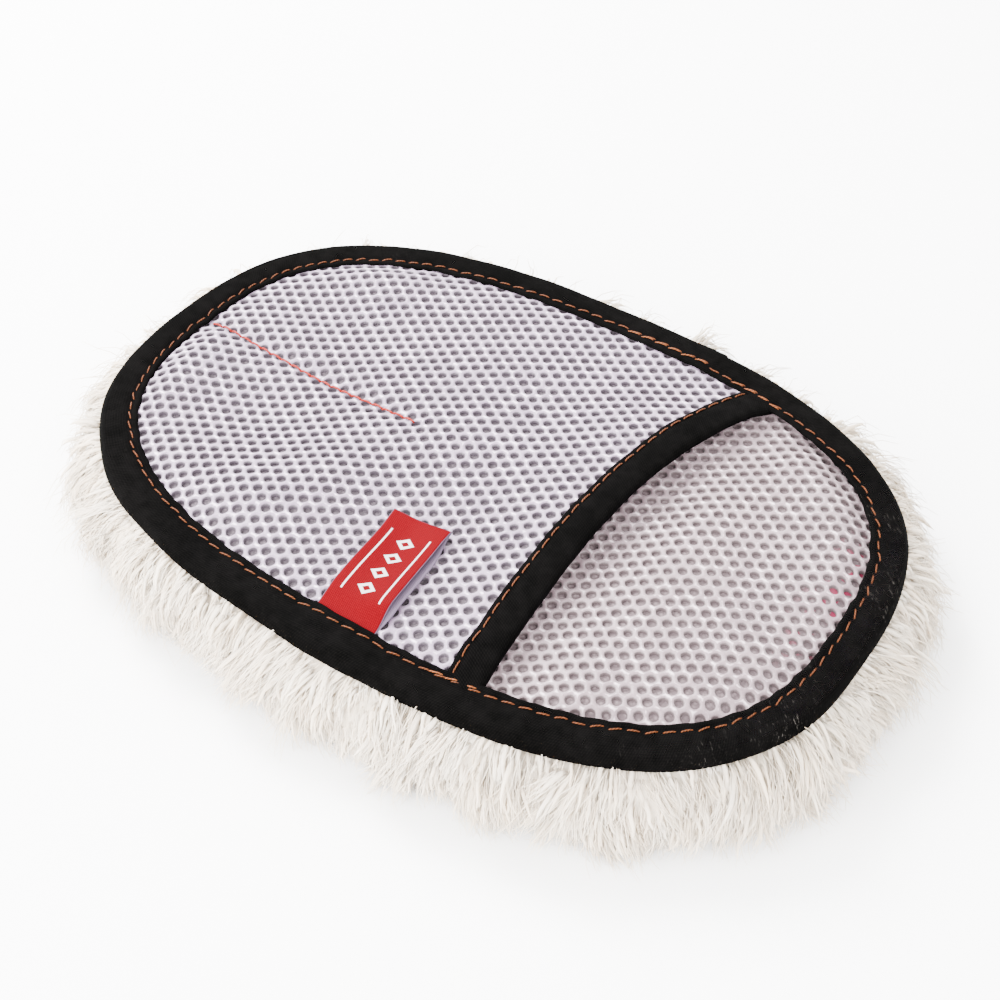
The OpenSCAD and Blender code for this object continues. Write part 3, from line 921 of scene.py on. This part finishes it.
def net(name, pad, sizes, surface, keep, material, turn=0.0, corners=12):
    """Spacer mesh with real holes on a staggered lattice.

    Each hole has a hexagonal cell: the points that are nearer to it than to any other hole. Round the cell run four
    loops:
    the cell's own edge, which is the strand's crest, a shoulder, the hole's rim, and the foot of its wall.
    The rim is nearly an oval: a mix of 0.84 ellipse and 0.16 of the cell's own shape.
    The strands that run along the pad get the strongest painted highlight on their crest, and the slanted ones get
    less."""
    pitch, column, depth = sizes.pitch * 1000, sizes.column * 1000, sizes.depth * 1000
    a, b = sizes.hole_long * 500, sizes.hole_wide * 500
    rng = np.random.default_rng(pad.seed + len(name))
    c, s = math.cos(turn), math.sin(turn)
    reach_i, reach_j = int(pad.a * 1.15 / column), int(pad.b * 1.3 / pitch)
    i, j = np.meshgrid(np.arange(-reach_i, reach_i + 1), np.arange(-reach_j, reach_j + 1), indexing="ij")
    u, v = (i * column).ravel(), ((j + 0.5 * (i % 2)) * pitch).ravel()
    x, y = u * c - v * s, u * s + v * c
    chosen = keep(x, y)
    u, v = u[chosen], v[chosen]
    # Corners of the cell from the equal-distance rule, then a midpoint on each side.
    tip = (column**2 + (pitch / 2) ** 2) / (2 * column)
    inner = (column**2 - (pitch / 2) ** 2) / (2 * column)
    six = np.array([[tip, 0], [inner, pitch / 2], [-inner, pitch / 2], [-tip, 0], [-inner, -pitch / 2], [inner, -pitch / 2]])
    per = corners // 6
    # How much of the crest's painted highlight each side of the cell loses: none on the sides along the pad, most on
    # the slanted ones.
    less_highlight = np.array([1.0, 0.0, 1.0, 1.0, 0.0, 1.0])
    less_highlight = np.concatenate([np.where(np.arange(per) == 0, 0.35, less_highlight[k]) for k in range(6)])
    cell = np.concatenate([six[k] + (six[(k + 1) % 6] - six[k]) * np.arange(per)[:, None] / per for k in range(6)])
    angle = np.arctan2(cell[:, 1], cell[:, 0])
    oval = np.column_stack([a * np.cos(angle), b * np.sin(angle)])
    reach = np.linalg.norm(oval, axis=1, keepdims=True)
    facet = cell / np.linalg.norm(cell, axis=1, keepdims=True) * reach
    rim = 0.84 * oval + 0.16 * facet * (np.linalg.norm(cell, axis=1, keepdims=True) / np.linalg.norm(cell, axis=1).mean())
    centre = np.column_stack([u, v])
    wobble = 1 + rng.normal(0, 0.05, (len(u), 1, 1))
    shift = rng.normal(0, 0.07, (len(u), 1, 2))
    # Each loop's mark sets painted light in the material: a low mark on the crest gives its painted highlight, and 1.0
    # on the rim and the wall's foot gives painted shade down the hole.
    loops = [
        (centre[:, None] + cell[None], 0.0, 0.02 + 0.17 * less_highlight),
        (centre[:, None] + (0.3 * cell + 0.7 * rim)[None] + shift * 0.6, 0.14, 0.22 + 0.14 * less_highlight),
        (centre[:, None] + rim[None] * wobble + shift, 0.38, 1.0),
        (centre[:, None] + rim[None] * wobble * 0.93 + shift, depth, 1.0),
    ]
    pts, deep = [], []
    for flat, down, painted_light_mark in loops:
        px, py = flat[..., 0] * c - flat[..., 1] * s, flat[..., 0] * s + flat[..., 1] * c
        pts.append(np.stack([px, py, surface(px, py) - down], axis=-1))
        deep.append(np.broadcast_to(painted_light_mark, px.shape))
    points = np.stack(pts, axis=1)
    cells, rings = points.shape[:2]
    one = grid(rings, corners, close_columns=True)
    faces = (one[None] + (np.arange(cells) * rings * corners)[:, None, None]).reshape(-1, 4)
    points, deep = points.reshape(-1, 3), np.stack(deep, axis=1).ravel()
    # Neighbouring cells share the points of their edge.
    key = np.round(points / 0.02).astype(np.int64)
    _, first, back = np.unique(key, axis=0, return_index=True, return_inverse=True)
    back = back.reshape(-1)
    points, deep, faces = points[first], deep[first], back[faces]
    first_ring = faces.reshape(cells, rings - 1, corners, 4)[:, 0].reshape(-1, 4)
    a3, b3, c3 = (points[first_ring[:, k]] for k in range(3))
    if np.cross(b3 - a3, c3 - a3)[:, 2].sum() < 0:
        faces = faces[:, ::-1]
    return make(name, points, [faces], material, {"depth": deep})


class MITT_OT_palm(bpy.types.Operator):
    """Build the palm's spacer mesh: an open face with real holes over a fine knitted back"""

    bl_idname = "mitt.palm"
    bl_label = "Palm mesh"

    def execute(self, context):
        pad, sizes = Pad(context.scene), context.scene.mitt_net
        face = net(
            "palm_net", pad, sizes, pad.palm, lambda x, y: pad.inset(x, y) > 6.5, palm_net_material(),
            turn=math.radians(-2.5),
        )
        deep = sizes.depth * 1000
        back = slab(
            "palm_net_back", pad, 3.4,
            lambda x, y: pad.palm(x, y) - deep - 0.42,
            lambda x, y: pad.palm(x, y) - deep - 0.08,
            ground_material("palm_ground", (0.09, 0.063, 0.069), (0.175, 0.13, 0.138), specks=True), rings=46, count=150,
        )
        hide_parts("base_mesh")
        for piece in (face, back):
            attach(piece, "pad")
        return {"FINISHED"}


class MITT_OT_roof(bpy.types.Operator):
    """Build the pocket's roof: the same spacer mesh, sagging and ridged over the fingers, with its knitted
    back inside the pocket"""

    bl_idname = "mitt.roof"
    bl_label = "Pocket roof"

    def execute(self, context):
        pad, sizes = Pad(context.scene), context.scene.mitt_net
        face = net(
            "pocket_net", pad, sizes, pad.roof_top,
            lambda x, y: (pad.inset(x, y) > 6.5) & (x < pad.mouth(y) - 5), net_material(),
        )
        back = self.back(pad, sizes)
        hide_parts("pocket_mesh")
        for piece in (face, back):
            follow_mouth(piece, pad)
        return {"FINISHED"}

    def back(self, pad, sizes):
        """Closed thin sheet 0.1 mm under the holes: rows across the pad, each from the finger end to the
        mouth."""
        deep = sizes.depth * 1000
        rows, columns = 90, 110
        v = np.sin(np.linspace(-1, 1, rows) * math.pi / 2) * (pad.b - 4.2)
        half = pad.a * np.maximum(0, 1 - (np.abs(v) / (pad.b - 3.4)) ** pad.n) ** (1 / pad.n) - 3.0
        t = np.linspace(0, 1, columns)
        left, right = -half, np.minimum(half, pad.mouth(v) - 2.2)
        x = left[:, None] + (right - left)[:, None] * t[None]
        y = np.broadcast_to(v[:, None], x.shape)
        z = pad.roof_top(x, y) - deep - 0.08
        top = np.stack([x, y, z], axis=-1)
        under = np.stack([x, y, z - 0.22], axis=-1)[:, ::-1]
        return capped(
            "pocket_net_back", np.concatenate([top, under], axis=1),
            ground_material("pocket_ground", (0.045, 0.033, 0.042), (0.105, 0.08, 0.098)),
        )


# ---- tapes and seams -----------------------------------------------------------------------


def edge_details(pad, s, total, pts):
    """What varies along the edge tape: its width, the seam's inset, soft waves of its outer and inner edge,
    and the lap's step."""
    rng = np.random.default_rng(pad.seed + 11)
    q = TAU * s / total
    width = pad.tape_width(pts[:, 0], pts[:, 1]) + 0.22 * loop_waves(q, rng, 20, 90)
    drift = 0.35 * loop_waves(q, rng, 5, 22)
    seam = width - 2.6 + 0.16 * loop_waves(q, rng, 12, 60)
    puff = 0.16 * loop_waves(q, rng, 14, 70)
    far = pts[:, 1] > 0
    # The tape's end laps over its start on the far side, with its cut edge at x = 36.
    lap = np.where(far, ease((pts[:, 0] - 21) / 13) * (pts[:, 0] < 36.2), 0.0)
    # It also rises over the label caught under it.
    lap = lap + np.where(far, 0.0, 1.3 * np.exp(-(((pts[:, 0] - 3.5) / 11.5) ** 6)))
    jog = np.where(far, 1.5 * ease((36 - pts[:, 0]) / 2.0) * ease((pts[:, 0] + 60) / 90), 0.0)
    return width, drift, seam - 0.6 * jog, puff, lap


def stitch_dips(s, pitch):
    """1 at each needle hole and 0 between: exp(-(distance to the hole / 0.75 mm)^2)."""
    frac = (s / pitch) % 1.0
    away = np.minimum(frac, 1 - frac) * pitch
    return np.exp(-((away / 0.75) ** 2))


def whole_pitch(total, pitch):
    return total / round(total / pitch)


def edge_top_height(pad, u, width, seam, puff, lap, dips):
    """Height of the tape's upper face at a distance u from the pad's edge: a soft crown, a groove at the
    seam with a dimple at each needle hole, and a rounded inner edge."""
    crown = 0.5 * np.sin(math.pi * np.clip(u / np.maximum(width - 2.0, 1), 0, 1)) ** 0.8
    groove = (0.30 + 0.20 * dips) * np.exp(-(((u - seam) / 1.0) ** 2))
    edge = 0.4 * ease((u - width + 0.8) / 0.8) - 0.3 * np.exp(-(((u - width + 1.2) / 0.7) ** 2))
    return pad.top - 0.1 + crown + puff * np.sin(math.pi * np.clip(u / width, 0, 1)) - groove - edge + 0.45 * lap


class MITT_OT_edge(bpy.types.Operator):
    """Build the folded edge tape with its lap, and the seams through it"""

    bl_idname = "mitt.edge"
    bl_label = "Edge tape and seams"

    def execute(self, context):
        pad, seams = Pad(context.scene), context.scene.mitt_seams
        tape = self.tape(pad, seams)
        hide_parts("edge_binding")
        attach(tape, "pad")
        total = pad.outline(8)[3]
        top = self.row(pad, seams, "edge_stitches", True, copper_material())
        under = self.row(pad, seams, "edge_stitches_under", False, copper_material())
        # The tack thread's own brown, dark as painted shade between the plies and pale as a painted highlight on them.
        tack = self.tacks(pad, seams, thread_material("back_tack_thread", (0.048, 0.012, 0.003), (0.16, 0.05, 0.015)))
        for piece, node in ((top, "edge_needle_thread"), (under, "edge_bobbin_thread"), (tack, "edge_backtack_thread")):
            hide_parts(node)
            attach(piece, "pad")
        lint = self.lint(pad)
        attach(lint, "pad")
        return {"FINISHED"}

    def tape(self, pad, seams):
        """Closed U-section swept round the outline. The outer skin runs over the top, round a bulging fold
        and back underneath, and the inner skin follows it one thickness inside."""
        count = 640
        pts, nrm, s, total = pad.outline(count)
        width, drift, seam, puff, lap = edge_details(pad, s, total, pts)
        dips = stitch_dips(s, whole_pitch(total, seams.pitch * 1000))
        radius = (pad.top - pad.low) / 2
        middle = (pad.top + pad.low) / 2
        steps_top = np.concatenate([np.linspace(1.0, 0.72, 9), np.linspace(0.68, 0.22, 8)])
        outer = []
        for f in steps_top:
            u = 2.3 + (width - 2.3) * (f - 0.22) / 0.78
            outer.append((u, edge_top_height(pad, u, width, seam, puff, lap, dips)))
        shoulder = outer[-1][1]
        for angle in np.linspace(80, -80, 11):
            a = math.radians(angle)
            bulge = 1 + 0.10 * math.cos(a)
            u = 2.3 - 2.3 * math.cos(a) * bulge - drift * math.cos(a) - 0.35 * lap * math.cos(a)
            half = radius if a < 0 else shoulder - middle
            outer.append((u, middle + half * math.sin(a)))
        for f in np.linspace(0.25, 1.0, 12):
            u = 2.3 + (width - 2.3) * (f - 0.22) / 0.78
            groove = 0.25 * np.exp(-(((u - seam) / 1.0) ** 2))
            outer.append((u, pad.low + groove - 0.15 * math.sin(math.pi * f) + 0 * u))
        u, z, across = two_skins(outer, count, pad.tape * 0.8)
        flat = pts[:, None] - nrm[:, None] * u.T[:, :, None]
        points = np.concatenate([flat, z.T[:, :, None]], axis=2)
        section = points.shape[1]
        faces = grid(count, section, close_rows=True, close_columns=True)
        points = points.reshape(-1, 3)
        return make(
            "edge_tape", points, outward(points, [faces]), tape_material(),
            {"along": np.repeat(s, section) * MM, "across": np.tile(across, count) * MM},
        )

    def path(self, pad, count=4000):
        pts, nrm, s, total = pad.outline(count)
        width, _, seam, puff, lap = edge_details(pad, s, total, pts)
        return pts, nrm, s, total, width, seam, puff, lap

    def lay(self, pad, centres, pitch, share, aside, top, name, material, thread, rise=0.0, wobble=0.06):
        """Stitches centred at running lengths along the seam. Each is a plied tube that arches out of one
        needle hole and into the next."""
        pts, nrm, s, total, width, seam, puff, lap = self.path(pad)
        rng = np.random.default_rng(pad.seed + len(name))
        t = np.linspace(-0.5, 0.5, 11)
        at = (centres[:, None] + t[None] * pitch * share) % total
        look = lambda values: np.interp(at, np.append(s, total), np.append(values, values[:1]))
        x, y, nx, ny = look(pts[:, 0]), look(pts[:, 1]), look(nrm[:, 0]), look(nrm[:, 1])
        slant = 0.3 + rng.normal(0, 0.08, (len(centres), 1))
        inset = look(seam) + aside + rng.normal(0, wobble, (len(centres), 1)) + slant * t[None] * 2
        arch = 1 - np.abs(2 * t) ** 3.2
        if top:
            dips = stitch_dips(at, whole_pitch(total, pitch))
            z = edge_top_height(pad, inset, look(width), look(seam), look(puff), look(lap), dips) + thread * 0.42 * arch - thread * 0.75 * (1 - arch) + rise
        else:
            z = pad.low + 0.22 - thread * 0.38 * arch + thread * 0.7 * (1 - arch) + 0 * at
        lines = np.stack([x - nx * inset, y - ny * inset, z], axis=-1)
        radii = np.full(at.shape, thread / 2) * (0.88 + 0.12 * arch)
        return plied(name, lines, radii, 8, 26.0, material)

    def row(self, pad, seams, name, top, material):
        total = pad.outline(8)[3]
        pitch = whole_pitch(total, seams.pitch * 1000)
        centres = (np.arange(round(total / pitch)) + 0.5) * pitch
        return self.lay(pad, centres, pitch, 0.80, 0.0, top, name, material, seams.thread * 1000)

    def tacks(self, pad, seams, material):
        """Doubled stitches: over each end of the mouth's tape, and where the seam starts and ends on the
        far side."""
        pts, nrm, s, total, *_ = self.path(pad)
        pitch = whole_pitch(total, seams.pitch * 1000)
        def near(x, far):
            side = (pts[:, 1] > 0) == far
            return s[np.argmin(np.where(side, np.abs(pts[:, 0] - x), 1e9))]
        centres, aside = [], []
        for x, far, count in ((41, False, 3), (57, True, 4), (20, True, 6)):
            base = round(near(x, far) / pitch) * pitch
            centres += [base + (k - (count - 1) / 2 + 0.15) * pitch for k in range(count)]
            aside += [0.45] * count
        return self.lay(
            pad, np.array(centres), pitch, 0.86, np.array(aside)[:, None], True, "back_tack_stitches", material,
            seams.thread * 1050, rise=0.10,
        )

    def lint(self, pad):
        """Loose wool fibres lying on the tape, most of them at the wrist end: short curved hairs 0.06 mm
        thick."""
        rng = np.random.default_rng(pad.seed + 5)
        count = 620
        pts, nrm, s, total, width, seam, puff, lap = self.path(pad)
        weight = 0.02 + 2.0 * ease((pts[:, 0] - 85) / 35) + 0.15 * ease((-pts[:, 1] - 40) / 40) * ease((pts[:, 0] - 10) / 60)
        chosen = rng.choice(len(pts), count, p=weight / weight.sum())
        steps = 6
        t = np.linspace(-0.5, 0.5, steps)
        long = rng.uniform(1.0, 4.2, (count, 1))
        heading = rng.uniform(0, TAU, (count, 1)) + rng.normal(0, 0.8, (count, 1)) * t[None] * 2
        du = np.cumsum(long / steps * np.cos(heading), axis=1)
        dv = np.cumsum(long / steps * np.sin(heading), axis=1)
        inset = np.clip(9.5 * rng.random((count, 1)) ** 1.6 + 1.2 + dv, 1.6, 10.5)
        tangent = np.column_stack([-nrm[chosen][:, 1], nrm[chosen][:, 0]])
        flat = pts[chosen][:, None] + tangent[:, None] * du[..., None] - nrm[chosen][:, None] * inset[..., None]
        z = edge_top_height(pad, np.maximum(inset, 2.3), width[chosen][:, None], seam[chosen][:, None], puff[chosen][:, None], lap[chosen][:, None], 0.0)
        z = z - 0.8 * ease((2.6 - inset) / 2.0) + 0.06 + 0.35 * np.abs(rng.normal(0, 1, (count, 1))) * (1 - (2 * t[None]) ** 2)
        lines = np.concatenate([flat, z[..., None]], axis=2)
        points, faces, share = tubes(lines, np.full((count, steps), 0.02), 3)
        return make("loose_fibres", points, faces, wool_material(), {"tip": 0.6 + 0 * share, "tint": 0.2 + 0 * share})


class MITT_OT_divider(bpy.types.Operator):
    """Build the red seam between the two finger bays, on top of the pocket and under the palm's mesh"""

    bl_idname = "mitt.divider"
    bl_label = "Divider seam"

    def execute(self, context):
        pad, seams = Pad(context.scene), context.scene.mitt_seams
        pitch, thread = seams.divider_pitch * 1000, seams.thread * 1450
        count = round(84 / pitch)
        rng = np.random.default_rng(pad.seed + 3)
        t = np.linspace(-0.5, 0.5, 9)
        x = -111.8 + (np.arange(count)[:, None] + 0.5 + t[None] * 0.97) * pitch
        y = pad.seam_y(x) + rng.normal(0, 0.07, (count, 1)) + rng.normal(0, 0.12, (count, 1)) * t[None]
        arch = 1 - np.abs(2 * t[None]) ** 3
        # The thread's own red, dark as painted shade between the plies and pale as a painted highlight on them.
        red = thread_material("red_thread", (0.12, 0.0055, 0.004), (0.23, 0.019, 0.013))
        for name, node, z in (
            ("divider_stitches", "divider_needle_thread", pad.roof_top(x, y) + thread * 0.9 * arch - 0.1 * (1 - arch)),
            ("divider_stitches_under", "divider_bobbin_thread", pad.palm(x, y) - 1.95 - 0.1 * arch + 0.3 * (1 - arch)),
        ):
            piece = plied(name, np.stack([x, y, z], axis=-1), np.full(x.shape, thread / 2), 7, 20.0, red)
            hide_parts(node)
            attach(piece, "pad")
        return {"FINISHED"}


class MITT_OT_mouth(bpy.types.Operator):
    """Build the tape folded over the pocket's mouth, and its seam"""

    bl_idname = "mitt.mouth"
    bl_label = "Mouth tape and seam"

    def execute(self, context):
        pad, seams = Pad(context.scene), context.scene.mitt_seams
        tape = self.tape(pad, seams)
        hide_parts("mouth_binding")
        follow_mouth(tape, pad)
        for name, node, top in (("mouth_stitches", "mouth_needle_thread", True), ("mouth_stitches_under", "mouth_bobbin_thread", False)):
            piece = self.row(pad, seams, name, top)
            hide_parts(node)
            follow_mouth(piece, pad)
        return {"FINISHED"}

    ENDS = (-76.0, 74.5)

    def frame_at(self, pad, y):
        """Point of the mouth's edge at y, and the unit vector from it into the roof."""
        x = pad.mouth(y)
        slope = (pad.mouth(y + 0.05) - pad.mouth(y - 0.05)) / 0.1
        into = np.stack([-np.ones_like(y), slope], axis=-1) / np.sqrt(1 + slope**2)[..., None]
        return np.stack([x, y], axis=-1), into

    def surface(self, pad, x, y):
        """The roof's height for the tape, held under the edge tape at the ends."""
        under = ease((11.5 - pad.inset(x, y)) / 3.5)
        return pad.roof_top(x, y) * (1 - under) + (pad.edge_top - 0.45) * under

    def wide(self, run, rng):
        return 10.7 + 0.7 * ease((run - 95) / 40) + 0.2 * waves(run, rng, 60, 11)

    def tape(self, pad, seams):
        """Closed U-section swept along the mouth: a flat upper face with a groove at the seam, a round
        fold, and the under face inside the pocket."""
        count = 300
        y = np.linspace(*self.ENDS, count)
        at, into = self.frame_at(pad, y)
        run = running(at)
        rng = np.random.default_rng(pad.seed + 21)
        width = self.wide(run, rng)
        puff = 0.14 * waves(run, rng, 46, 9)
        roll = 0.25 * waves(run, rng, 70, 16)
        dips = stitch_dips(run, seams.pitch * 1000)
        seam = width - 2.3
        outer = []
        for u in [*np.linspace(1.0, 0.70, 8), *np.linspace(0.62, 0.20, 6)]:
            d = width * u
            crown = 0.62 * np.sin(math.pi * np.clip(d / width, 0, 1)) ** 0.7
            groove = (0.32 + 0.2 * dips) * np.exp(-(((d - seam) / 0.8) ** 2))
            edge = 0.3 * ease((d - width + 0.6) / 0.6)
            outer.append((d, 0.62 + crown + puff * math.sin(math.pi * u) - groove - edge))
        first = outer[-1][1]
        low = -pad.roof_thick - 0.75
        for angle in np.linspace(75, -75, 9):
            a = math.radians(angle)
            d = 2.0 - 2.35 * math.cos(a) * (1 + 0 * run) + roll * math.cos(a) * 0.5
            z = (first + low) / 2 + (first - low) / 2 * math.sin(a)
            outer.append((d, z))
        for u in np.linspace(0.24, 1.0, 9):
            outer.append((width * u, low + 0.25 * np.exp(-(((width * u - seam) / 0.8) ** 2)) - 0.12 * math.sin(math.pi * u)))
        u, z, across = two_skins(outer, count, 0.62)
        flat = at[:, None] + into[:, None] * u.T[:, :, None]
        base = self.surface(pad, flat[..., 0], flat[..., 1])
        edge = self.surface(pad, at[:, 0], at[:, 1])[:, None]
        base = np.where(u.T < 0, edge, base)
        points = np.concatenate([flat, (base + z.T)[:, :, None]], axis=2)
        return capped(
            "mouth_tape", points, tape_material(),
            {"along": np.repeat(run, points.shape[1]) * MM, "across": np.tile(across, count) * MM},
        )

    def row(self, pad, seams, name, top):
        y = np.linspace(*self.ENDS, 1500)
        at, into = self.frame_at(pad, y)
        run = running(at)
        rng = np.random.default_rng(pad.seed + 21)
        width = self.wide(run, rng)
        pitch, thread = seams.pitch * 1000, seams.thread * 960
        lo, hi = np.interp([-71.0, 69.0], y, run)
        centres = (np.arange(math.ceil(lo / pitch), int(hi / pitch)) + 0.5) * pitch
        t = np.linspace(-0.5, 0.5, 11)
        s = centres[:, None] + t[None] * pitch * 0.84
        look = lambda values: np.interp(s, run, values)
        jitter = np.random.default_rng(pad.seed + 22)
        inset = look(width) - 1.7 + jitter.normal(0, 0.05, (len(centres), 1))
        x = look(at[:, 0]) + look(into[:, 0]) * inset
        yy = look(at[:, 1]) + look(into[:, 1]) * inset
        arch = 1 - np.abs(2 * t[None]) ** 3.2
        surface = self.surface(pad, x, yy)
        if top:
            z = surface + 0.62 + 0.22 + thread * 0.42 * arch - 0.5 * (1 - arch)
        else:
            z = surface - pad.roof_thick - 0.6 - thread * 0.4 * arch + 0.45 * (1 - arch)
        return plied(name, np.stack([x, yy, z], axis=-1), np.full(s.shape, thread / 2), 8, 26.0, copper_material())


# ---- label ----------------------------------------------------------------------------------


class MITT_OT_label(bpy.types.Operator):
    """Build the folded red label that is caught under the edge tape"""

    bl_idname = "mitt.label"
    bl_label = "Label"

    def execute(self, context):
        pad = Pad(context.scene)
        length, half, ply = 38.3, 9.9, 0.34
        steps, columns, tail = 46, 25, 3.0
        t = np.linspace(0, 1, steps)
        w = np.linspace(-1, 1, columns)[None]
        # The upper ply runs from under the tape to the fold, and the lower one back again.
        run = np.concatenate([-tail + (length + tail) * t, length + np.array([0.4, 0.55, 0.4]), length - (length + tail) * t])
        level = np.concatenate([np.ones(steps), [0.86, 0.5, 0.14], np.zeros(steps)])[:, None]
        total = len(run)
        s, across = run[:, None] + 0 * w, half * w + 0 * run[:, None]
        held = ease(s / 9)
        # The lower ply has slipped 1.8 mm sideways, and both stand up along that side.
        x = 3.5 + across - 0.078 * s + 1.8 * (1 - level) * ease((s + 1) / 8) * ease((length + 1 - s) / 14)
        y = -71.6 + s + 0.035 * across * ease(s / 20)
        side = ease((w + 0.3) / 1.3)
        lift = 1.3 * held * side * (0.75 + 0.25 * np.sin(np.clip(s / length, 0, 1) * math.pi))
        curl = 0.55 * ease((s - 30) / 9) + 0.22 * np.sin(s / 6.0 + 1.2 * w) * held
        gap = 0.36 + 0.35 * held + 1.0 * held * side * ease((length + 2 - s) / 8)
        z = pad.roof_top(x, y) + 0.12 + 0.3 * held + lift + curl + level * gap
        outer = np.stack([x, y, z], axis=-1)
        normal = np.cross(np.gradient(outer, axis=0), np.gradient(outer, axis=1))
        normal /= np.maximum(np.linalg.norm(normal, axis=2, keepdims=True), 1e-9)
        if normal[5, columns // 2, 2] < 0:
            normal = -normal
        inner = outer - normal * ply * 0.6
        sheet = np.concatenate([outer, inner[:, ::-1]], axis=1)
        ring = 2 * columns
        wide = np.concatenate([across, across[:, ::-1]], axis=1)
        under = np.repeat((np.arange(total) > steps + 1).astype(float), ring)
        pale = np.repeat(0.3 * (run > length + 0.1), ring)
        back = np.tile(np.repeat([0.0, 0.95], columns), total)
        piece = capped(
            "label_ribbon", sheet, label_material(),
            {"along": (np.repeat(run, ring) - 60 * under) * MM, "across": wide.ravel() * MM, "pale": np.maximum(pale, back)},
        )
        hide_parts("label")
        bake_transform(piece)
        return {"FINISHED"}


# ---- stage -----------------------------------------------------------------------------------


class MITT_OT_stage(bpy.types.Operator):
    """Set the pale floor, the soft studio light and the camera"""

    bl_idname = "mitt.stage"
    bl_label = "Stage"

    def execute(self, context):
        m, tree, shader, place = start("studio_floor", 0.9)
        grain = add(tree, "ShaderNodeTexNoise", {"Vector": place, "Scale": 3.0}).outputs["Fac"]
        tree.links.new(mix(tree, grain, (0.93, 0.93, 0.93), (0.95, 0.95, 0.95)), shader.inputs["Base Color"])
        r = 6000.0
        floor = make("floor", [[-r, -r, 0], [r, -r, 0], [r, r, 0], [-r, r, 0]], [np.array([[0, 1, 2, 3]])], m, smooth=False)
        world = bpy.data.worlds.new("studio")
        world.use_nodes = True
        world.node_tree.nodes["Background"].inputs["Color"].default_value = (1, 1, 1, 1)
        world.node_tree.nodes["Background"].inputs["Strength"].default_value = 5.6
        context.scene.world = world
        self.light("key", (-0.85, 0.35, 0.95), 0.6, 100.0)
        self.light("fill", (0.9, -0.5, 0.8), 0.9, 16.0)
        self.light("front", (-0.3, -0.95, 0.6), 0.9, 60.0)
        self.camera(context)
        return {"FINISHED"}

    def light(self, name, place, size, power):
        data = bpy.data.lights.new(name, "AREA")
        data.size, data.energy = size, power
        lamp = bpy.data.objects.new(name, data)
        lamp.location = place
        lamp.rotation_euler = (-Vector(place)).to_track_quat("-Z", "Y").to_euler()
        bpy.context.scene.collection.objects.link(lamp)

    def camera(self, context):
        """The camera looks down at 46 degrees, turned 34.6 degrees from the mitt's side, 312 mm over the
        tape."""
        data = bpy.data.cameras.new("camera")
        data.sensor_width, data.lens = 36.0, 53.7
        cam = bpy.data.objects.new("camera", data)
        e, turn = math.radians(46.0), math.radians(34.6)
        look = Vector((-math.sin(turn) * math.cos(e), math.cos(turn) * math.cos(e), -math.sin(e)))
        target = Vector((0.01284, -0.01211, 0.03065))
        cam.location = target - look * (0.3123 / math.sin(e))
        cam.rotation_euler = look.to_track_quat("-Z", "Y").to_euler()
        context.scene.collection.objects.link(cam)
        context.scene.camera = cam


class MITT_PT_panel(bpy.types.Panel):
    """Buttons and sizes of the mitt"""

    bl_label = "Wash mitt"
    bl_idname = "MITT_PT_panel"
    bl_space_type = "VIEW_3D"
    bl_region_type = "UI"
    bl_category = "Mitt"

    def draw(self, context):
        scene = context.scene
        for group_name in PROPERTIES:
            box = self.layout.box()
            settings = getattr(scene, group_name)
            for key in settings.bl_rna.properties.keys():
                if key not in ("rna_type", "name"):
                    box.prop(settings, key)
        for operator in OPERATORS:
            self.layout.operator(operator.bl_idname)


PROPERTIES = {
    "mitt_shape": MittShape,
    "mitt_net": MittNet,
    "mitt_seams": MittSeams,
    "mitt_fleece": MittFleece,
}
OPERATORS = (
    MITT_OT_fleece,
    MITT_OT_hide,
    MITT_OT_palm,
    MITT_OT_roof,
    MITT_OT_edge,
    MITT_OT_divider,
    MITT_OT_mouth,
    MITT_OT_label,
    MITT_OT_stage,
)


def register():
    for cls in (*PROPERTIES.values(), *OPERATORS, MITT_PT_panel):
        bpy.utils.register_class(cls)
    for name, cls in PROPERTIES.items():
        setattr(bpy.types.Scene, name, bpy.props.PointerProperty(type=cls))


def unregister():
    for name in PROPERTIES:
        delattr(bpy.types.Scene, name)
    for cls in reversed((*PROPERTIES.values(), *OPERATORS, MITT_PT_panel)):
        bpy.utils.unregister_class(cls)


def main():
    register()
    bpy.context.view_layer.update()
    bpy.ops.mitt.fleece()
    bpy.ops.mitt.hide()
    bpy.ops.mitt.palm()
    bpy.ops.mitt.roof()
    bpy.ops.mitt.edge()
    bpy.ops.mitt.divider()
    bpy.ops.mitt.mouth()
    bpy.ops.mitt.label()
    bpy.ops.mitt.stage()


if __name__ == "__main__":
    main()
